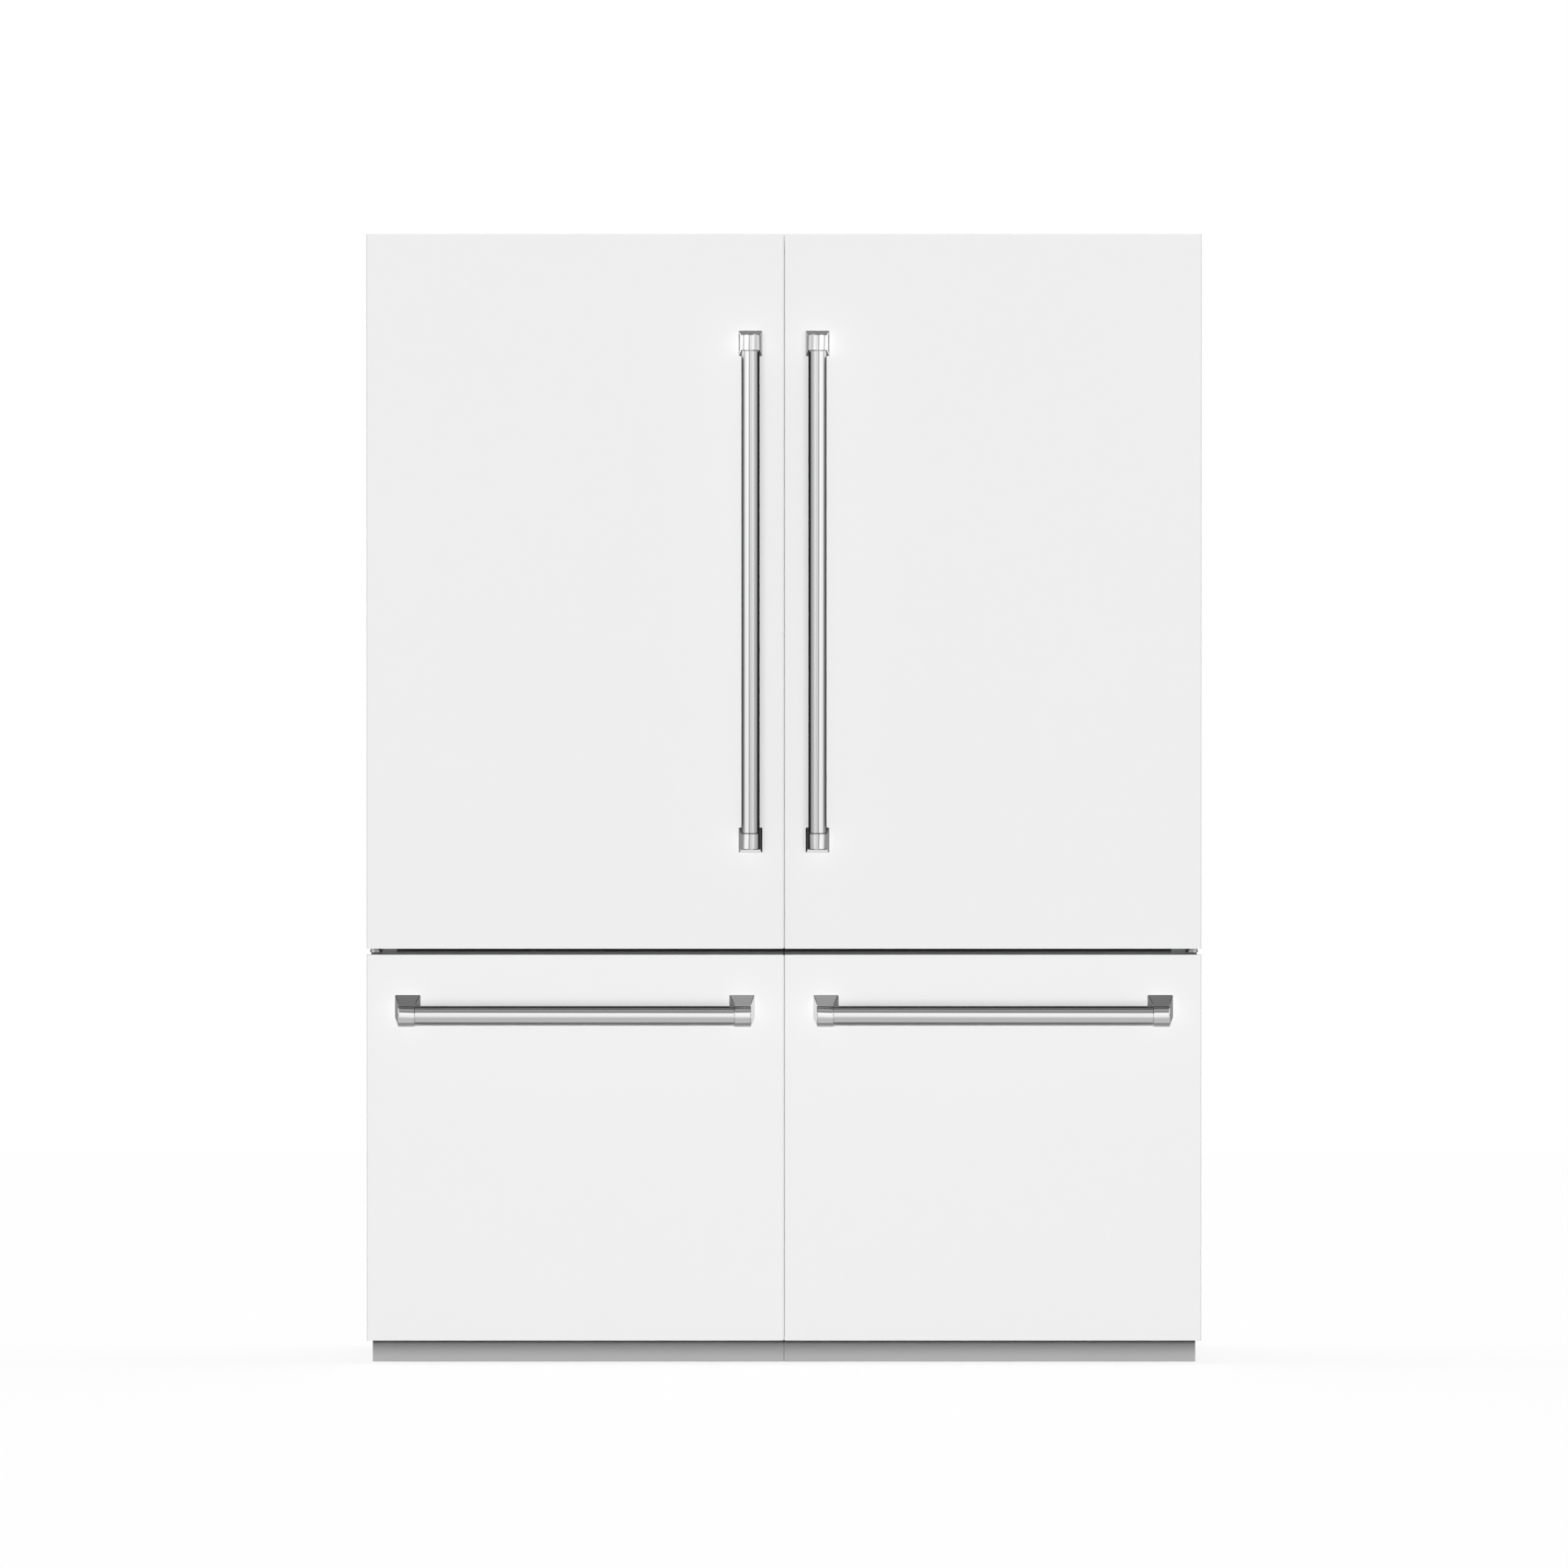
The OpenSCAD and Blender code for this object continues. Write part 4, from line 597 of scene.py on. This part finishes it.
def addSeal(name, panel, body, s):
    low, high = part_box(panel)
    x0, x1 = high.x - s["sink"], high.x + s["width"]
    y0, y1 = low.y + s["setBack"], low.y + s["setBack"] + s["depth"]
    z0, z1 = low.z + s["endGap"], high.z - s["endGap"]
    r = s["rounding"]
    outline = [(x0, y1), (x1 - r, y1), (x1, y1 - r), (x1, y0 + r), (x1 - r, y0), (x0, y0 + s["lipRounding"])]
    work = bmesh.new()
    joinRings(work, [[work.verts.new((x, y, z)) for x, y in outline] for z in (z0, z0 + r, z1 - r, z1)])
    piece = makePiece(name, work, "seal")
    soften(piece, s["softEdge"], softening)
    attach(piece, body)
    return piece


doorSeal = addSeal("doorSeamSeal", "left_door_panel", "left_door", seal)
drawerSeal = addSeal("drawerSeamSeal", "left_drawer_panel", "left_drawer", seal)
print("seam seals added")

fittings = []  # the small pieces that ride on the cabinet


def addFitting(name, work, material):
    piece = makePiece(name, work, material)
    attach(piece, "cabinet")
    fittings.append(piece)
    return piece


# pressed ribs on the back; the shoulder is a share of the slope and of the height
ribs = {
    "count": 5, "width": 0.026, "height": 0.0016, "slope": 0.005, "shoulder": (0.4, 0.7), "sides": 32,
    "sink": 0.0002, "sideMargin": 0.07, "endMargin": 0.16,
}


def addRib(work, x0, x1, z, y, r):  # a long raised band with round ends
    across, up = r["shoulder"]
    rings = []
    for inset, rise in ((0, -r["sink"]), (r["slope"] * across, r["height"] * up), (r["slope"], r["height"])):
        radius = r["width"] / 2 - inset
        ring = []
        for k in range(r["sides"]):
            a = 2 * math.pi * (k + 0.5) / r["sides"]
            middle = x1 - r["width"] / 2 if math.cos(a) > 0 else x0 + r["width"] / 2
            ring.append(work.verts.new((middle + radius * math.cos(a), y + rise, z + radius * math.sin(a))))
        rings.append(ring)
    joinRings(work, rings)


def addRibs(side, r):
    low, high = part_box(side + "_casing")
    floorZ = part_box("machine_covers")[1].z
    work = bmesh.new()
    for i in range(r["count"]):
        share = i / (r["count"] - 1)
        z = floorZ + r["endMargin"] + share * (high.z - floorZ - 2 * r["endMargin"])
        addRib(work, low.x + r["sideMargin"], high.x - r["sideMargin"], z, high.y, r)
    addFitting(side + "BackRibs", work, "casing")


def turned(work, at, axis, profile, sides):  # a turned shape along Y or Z
    rings = []
    for radius, rise in profile:
        ring = []
        for k in range(sides):
            a = 2 * math.pi * k / sides
            across, up = radius * math.cos(a), radius * math.sin(a)
            offset = (across, rise, up) if axis == "Y" else (across, up, rise)
            ring.append(work.verts.new(at + Vector(offset)))
        rings.append(ring)
    joinRings(work, rings)


# screws of the machine covers; the head's shape is in shares of radius and height
screws = {
    "radius": 0.0042, "height": 0.0022, "head": ((1.0, 0.35), (0.8, 0.85), (0.45, 1.0), (0.4, 0.35)),
    "sides": 20, "sink": 0.0004, "inset": 0.0055, "perRow": 4,
}


def addCoverScrews(side, p):
    low, high = corners(spotsOf("machine_covers", side))
    r, h, inset = p["radius"], p["height"], p["inset"]
    profile = [(r, -p["sink"]), *((r * across, h * up) for across, up in p["head"])]
    work = bmesh.new()
    for i in range(p["perRow"]):
        x = low.x + inset + i / (p["perRow"] - 1) * (high.x - low.x - 2 * inset)
        for z in (low.z + inset, high.z - inset):
            turned(work, Vector((x, high.y, z)), "Y", profile, p["sides"])
    addFitting(side + "CoverScrews", work, "screw")


# bolts of the hinge plates on top; along is the shares of the plate's depth where they stand
bolts = {
    "radius": 0.0052, "height": 0.0034, "chamfer": (0.86, 0.8), "sides": 6, "washer": 0.0072,
    "washerHeight": 0.0008, "washerHole": 0.9, "washerSides": 24, "sink": 0.0002, "along": (0.55, 0.86),
    "nearTop": 0.0001,
}


def addHingeBolts(side, p):
    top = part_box("hinge_brackets")[1].z
    low, high = corners([v for v in spotsOf("hinge_brackets", side) if v.z > top - p["nearTop"]])
    r, h = p["radius"], p["height"]
    inner, up = p["chamfer"]
    head = ((r, 0.0), (r, h * up), (r * inner, h))
    rim, hole = p["washer"], r * p["washerHole"]
    washer = ((rim, -p["sink"]), (rim, p["washerHeight"]), (hole, p["washerHeight"]))
    work = bmesh.new()
    for share in p["along"]:
        at = Vector(((low.x + high.x) / 2, low.y + share * (high.y - low.y), top))
        turned(work, at, "Z", washer, p["washerSides"])
        turned(work, at, "Z", head, p["sides"])
    addFitting(side + "HingeBolts", work, "screw")


for side in ("left", "right"):
    addRibs(side, ribs)
    addCoverScrews(side, screws)
    addHingeBolts(side, bolts)

# a strip that closes the joint between the two plinth plates
strip = {"setBack": 0.0008, "depth": 0.005, "rounding": 0.0004, "sink": 0.0001, "atFace": 0.001}


def addStrip(p):
    x0 = max(v.x for v in spotsOf("toe_kicks", "left")) - p["sink"]
    x1 = min(v.x for v in spotsOf("toe_kicks", "right")) + p["sink"]
    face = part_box("toe_kicks")[0].y
    atFace = [v.z for v in spotsOf("toe_kicks") if v.y < face + p["atFace"]]
    y0, y1, r = face + p["setBack"], face + p["setBack"] + p["depth"], p["rounding"]
    outline = [(x0, y1), (x0, y0 + r), (x0 + r, y0), (x1 - r, y0), (x1, y0 + r), (x1, y1)]
    low, high = min(atFace) + r, max(atFace) - r
    work = bmesh.new()
    joinRings(work, [[work.verts.new((x, y, z)) for x, y in outline] for z in (low, low + r, high - r, high)])
    return addFitting("plinthStrip", work, "strip")


plinthStrip = addStrip(strip)
print("cabinet fittings added")

studio = {
    "frontLight": 0.1,  # from the half of the room in front of the part
    "backLight": 0.8,
    "halfBlend": 1.6,  # how fast the one turns into the other
    "levelBand": 0.1,  # this near the horizon steel sees roundAbout, and farther from it upDown
    "levelBlend": 4.0,
    "floorSize": 9.0,
    "floorTone": 0.3,
    "floorGlow": 0.855,  # added where the camera looks at the paper
    "flatKey": 0.68,  # shares of the light on the fronts
    "sideKey": 0.2,
    "lowKey": 0.23,
    "toeKey": 0.56,
    "toeFlat": 0.16,
    "fill": 0.34,
}
steelGain = 2.0  # ramps stop at 1, so they hold the brightness divided by this

# how bright the studio is in each direction, as polished steel sees it
upDown = [  # by angle above the horizon, -90 to 90
    (-90, 0.75), (-60, 0.68), (-42, 0.70), (-30, 0.80), (-20, 1.03), (-10, 1.16), (0, 1.3), (10, 1.5),
    (20, 1.4), (27, 0.86), (34, 0.42), (41, 0.32), (52, 0.33), (60, 0.48), (68, 0.42), (78, 0.26),
    (86, 0.06), (90, 0.03),
]
roundAbout = [  # by angle from the front, 0 to 180
    (0, 1.18), (5, 0.9), (10, 0.64), (15, 0.55), (20, 0.88), (26, 1.3), (35, 1.56), (46, 1.5), (58, 1.34),
    (70, 1.25), (80, 1.0), (92, 0.42), (120, 0.3), (180, 0.5),
]
seamCard = [  # by angle from the front, on the side of the seam
    (0, 1.1), (5, 1.05), (15, 1.0), (24, 1.24), (33, 1.2), (45, 0.84), (56, 0.68),
    (67, 0.64), (76, 0.48), (84, 0.2), (92, 0.03),
]
capCard = [  # the same, beside the caps at the top
    (0, 1.1), (5, 1.05), (15, 1.0), (24, 1.24), (33, 1.2), (45, 0.84), (56, 0.72),
    (67, 0.78), (78, 0.9), (90, 0.88), (103, 0.8), (112, 0.6), (122, 0.25), (135, 0.1),
]


def toneByAngle(tree, share, stops, lowest=0):  # the share is of 180 degrees from the lowest
    return ramp(tree, share, [((angle - lowest) / 180, value / steelGain) for angle, value in stops])


def seenDirectly(tree, path):
    return math2(tree, "MAXIMUM", path["Is Camera Ray"], path["Is Transmission Ray"])


def addWorld(s):
    world = bpy.data.worlds.new("studioWorld")
    scene.world = world
    world.use_nodes = True
    tree = world.node_tree
    tree.nodes.clear()
    way = place(tree, "ShaderNodeSeparateXYZ")
    tree.links.new(place(tree, "ShaderNodeTexCoord").outputs["Generated"], way.inputs[0])
    x, y, z = way.outputs
    height = math2(tree, "DIVIDE", math2(tree, "ADD", math2(tree, "ARCSINE", z), math.pi / 2), math.pi)
    turn = math2(tree, "ARCTAN2", math2(tree, "ABSOLUTE", x), math2(tree, "MULTIPLY", y, -1.0))
    level = toneByAngle(tree, height, upDown, lowest=-90)
    flat = toneByAngle(tree, math2(tree, "DIVIDE", turn, math.pi), roundAbout)
    slope = math2(tree, "SUBTRACT", math2(tree, "ABSOLUTE", z), s["levelBand"])
    steep = math2(tree, "MULTIPLY", slope, s["levelBlend"], True)
    glossy = place(tree, "ShaderNodeBackground", in_Strength=steelGain)
    tree.links.new(mixColour(tree, steep, flat, level), glossy.inputs["Color"])
    white = place(tree, "ShaderNodeBackground", in_Color=(1, 1, 1, 1), in_Strength=1.0)
    behind = math2(tree, "ADD", math2(tree, "MULTIPLY", y, s["halfBlend"]), 0.5, True)
    more = math2(tree, "MULTIPLY", behind, s["backLight"] - s["frontLight"])
    light = place(tree, "ShaderNodeBackground", in_Color=(1, 1, 1, 1))
    tree.links.new(math2(tree, "ADD", more, s["frontLight"]), light.inputs["Strength"])
    path = place(tree, "ShaderNodeLightPath").outputs
    lit = mixShader(tree, path["Is Glossy Ray"], light.outputs[0], glossy.outputs[0])
    room = mixShader(tree, seenDirectly(tree, path), lit, white.outputs[0])
    tree.links.new(room, place(tree, "ShaderNodeOutputWorld").inputs[0])


def addSheet(name, spots, material):
    material.cycles.emission_sampling = "NONE"
    mesh = bpy.data.meshes.new(name)
    mesh.from_pydata(spots, [], [(0, 1, 2, 3)])
    mesh.materials.append(material)
    sheet = bpy.data.objects.new(name, mesh)
    scene.collection.objects.link(sheet)
    return sheet


# how bright the floor is in polished steel, by metres in front of the door handles
floorInSteel = [(0.0, 0.68), (0.35, 0.62), (0.7, 0.63), (1.1, 0.76), (1.8, 0.96), (3.6, 1.13), (8.0, 1.3)]


def addFloor(s):
    material, tree, shader = newMaterial("studioFloorPaper", Roughness=1.0, Specular_IOR_Level=0.0)
    shader.inputs["Base Color"].default_value = (s["floorTone"],) * 3 + (1,)
    farthest = floorInSteel[-1][0]
    ahead = math2(tree, "DIVIDE", math2(tree, "SUBTRACT", barY, places(tree)["Y"]), farthest, True)
    steelTone = ramp(tree, ahead, [(away / farthest, value / steelGain) for away, value in floorInSteel])
    path = place(tree, "ShaderNodeLightPath").outputs
    glow = place(tree, "ShaderNodeEmission", in_Color=(1, 1, 1, 1))
    tree.links.new(math2(tree, "MULTIPLY", seenDirectly(tree, path), s["floorGlow"]), glow.inputs["Strength"])
    paper = place(tree, "ShaderNodeAddShader")
    tree.links.new(shader.outputs[0], paper.inputs[0])
    tree.links.new(glow.outputs[0], paper.inputs[1])
    steelGlow = place(tree, "ShaderNodeEmission", in_Strength=steelGain)
    tree.links.new(steelTone, steelGlow.inputs["Color"])
    both = mixShader(tree, path["Is Glossy Ray"], paper.outputs[0], steelGlow.outputs[0])
    tree.links.new(both, tree.nodes["Material Output"].inputs["Surface"])
    far = s["floorSize"]
    spots = [(-far, -far, 0), (far, -far, 0), (far, far, 0), (-far, far, 0)]
    floor = addSheet("studioFloor", spots, material)


# a card between the two door handles, which only polished steel sees
cardSize = {"reach": 0.75, "gap": 0.002, "overhang": 0.2}


def addSeamCard(c):
    material, tree, shader = newMaterial("seamCardPaint")
    tree.nodes.remove(shader)
    _, y, z = places(tree)
    turn = math2(tree, "ARCTAN2", -barX, math2(tree, "SUBTRACT", barY, y))
    share = math2(tree, "DIVIDE", turn, math.pi)
    tone, capTone = toneByAngle(tree, share, seamCard), toneByAngle(tree, share, capCard)
    capLow = footOf("left_door_handle_brackets", 2, True)[0].z + handleShadeByHeight["neckReach"]
    tone = mixColour(tree, math2(tree, "GREATER_THAN", z, capLow), tone, capTone)
    glow = place(tree, "ShaderNodeEmission", in_Strength=steelGain)
    tree.links.new(tone, glow.inputs["Color"])
    tree.links.new(glow.outputs[0], tree.nodes["Material Output"].inputs["Surface"])
    y0, y1 = faceY - c["gap"], barY - c["reach"]
    z0, z1 = barLow.z - c["overhang"], barHigh.z + c["overhang"]
    card = addSheet("seamCard", [(0, y0, z0), (0, y1, z0), (0, y1, z1), (0, y0, z1)], material)
    card.visible_camera = False
    card.visible_diffuse = False
    card.visible_shadow = False
    card.visible_transmission = False
    card.visible_volume_scatter = False


lampAway = 20.0
handles = [thing for name, thing in nodes.items() if "handle" in name]


def collect(name, things):
    group = bpy.data.collections.new(name)
    for thing in things:
        group.objects.link(thing)
    return group


def addKey(name, receivers, blockers, turn, height, softness, share):  # angles in degrees
    data = bpy.data.lights.new(name, "POINT")
    data.shadow_soft_size = lampAway * math.tan(math.radians(softness / 2))
    data.energy = share * (2 * math.pi * lampAway) ** 2
    lamp = bpy.data.objects.new(name, data)
    scene.collection.objects.link(lamp)
    across, up = math.radians(turn), math.radians(height)
    fromWay = Vector((math.sin(across) * math.cos(up), -math.cos(across) * math.cos(up), math.sin(up)))
    lamp.location = fromWay * lampAway + Vector((0, faceY, camera["aimHeight"]))
    lamp.visible_glossy = False
    lamp.light_linking.receiver_collection = collect(name + "Lights", receivers)
    if blockers:
        lamp.light_linking.blocker_collection = collect(name + "Shades", blockers)


def addKeys(s):
    doors = [nodes["left_door_panel"], doorSeal, nodes["right_door_panel"]]
    drawers = [nodes["left_drawer_panel"], drawerSeal, nodes["right_drawer_panel"]]
    toeKicks = [nodes["toe_kicks"], plinthStrip]
    others = [thing for thing in [*nodes.values(), *fittings] if thing not in doors + drawers + toeKicks]
    addKey("flatKey", doors + drawers, handles, turn=0, height=4, softness=2, share=s["flatKey"])
    addKey("leftSideKey", doors[:2], handles, turn=-9, height=0, softness=14, share=s["sideKey"])
    addKey("rightSideKey", doors[2:], handles, turn=9, height=0, softness=14, share=s["sideKey"])
    addKey("lowKey", drawers, handles, turn=0, height=-10, softness=18, share=s["lowKey"])
    addKey("toeKey", toeKicks, None, turn=0, height=16, softness=32, share=s["toeKey"])
    addKey("toeFlat", toeKicks, None, turn=0, height=5, softness=4, share=s["toeFlat"])
    addKey("innerKey", others, None, turn=0, height=5, softness=4, share=s["fill"])
    addKey("leftFill", others, None, turn=-35, height=25, softness=25, share=s["fill"])
    addKey("rightFill", others, None, turn=35, height=25, softness=25, share=s["fill"])


addWorld(studio)
addFloor(studio)
addSeamCard(cardSize)
addKeys(studio)
print("studio built")
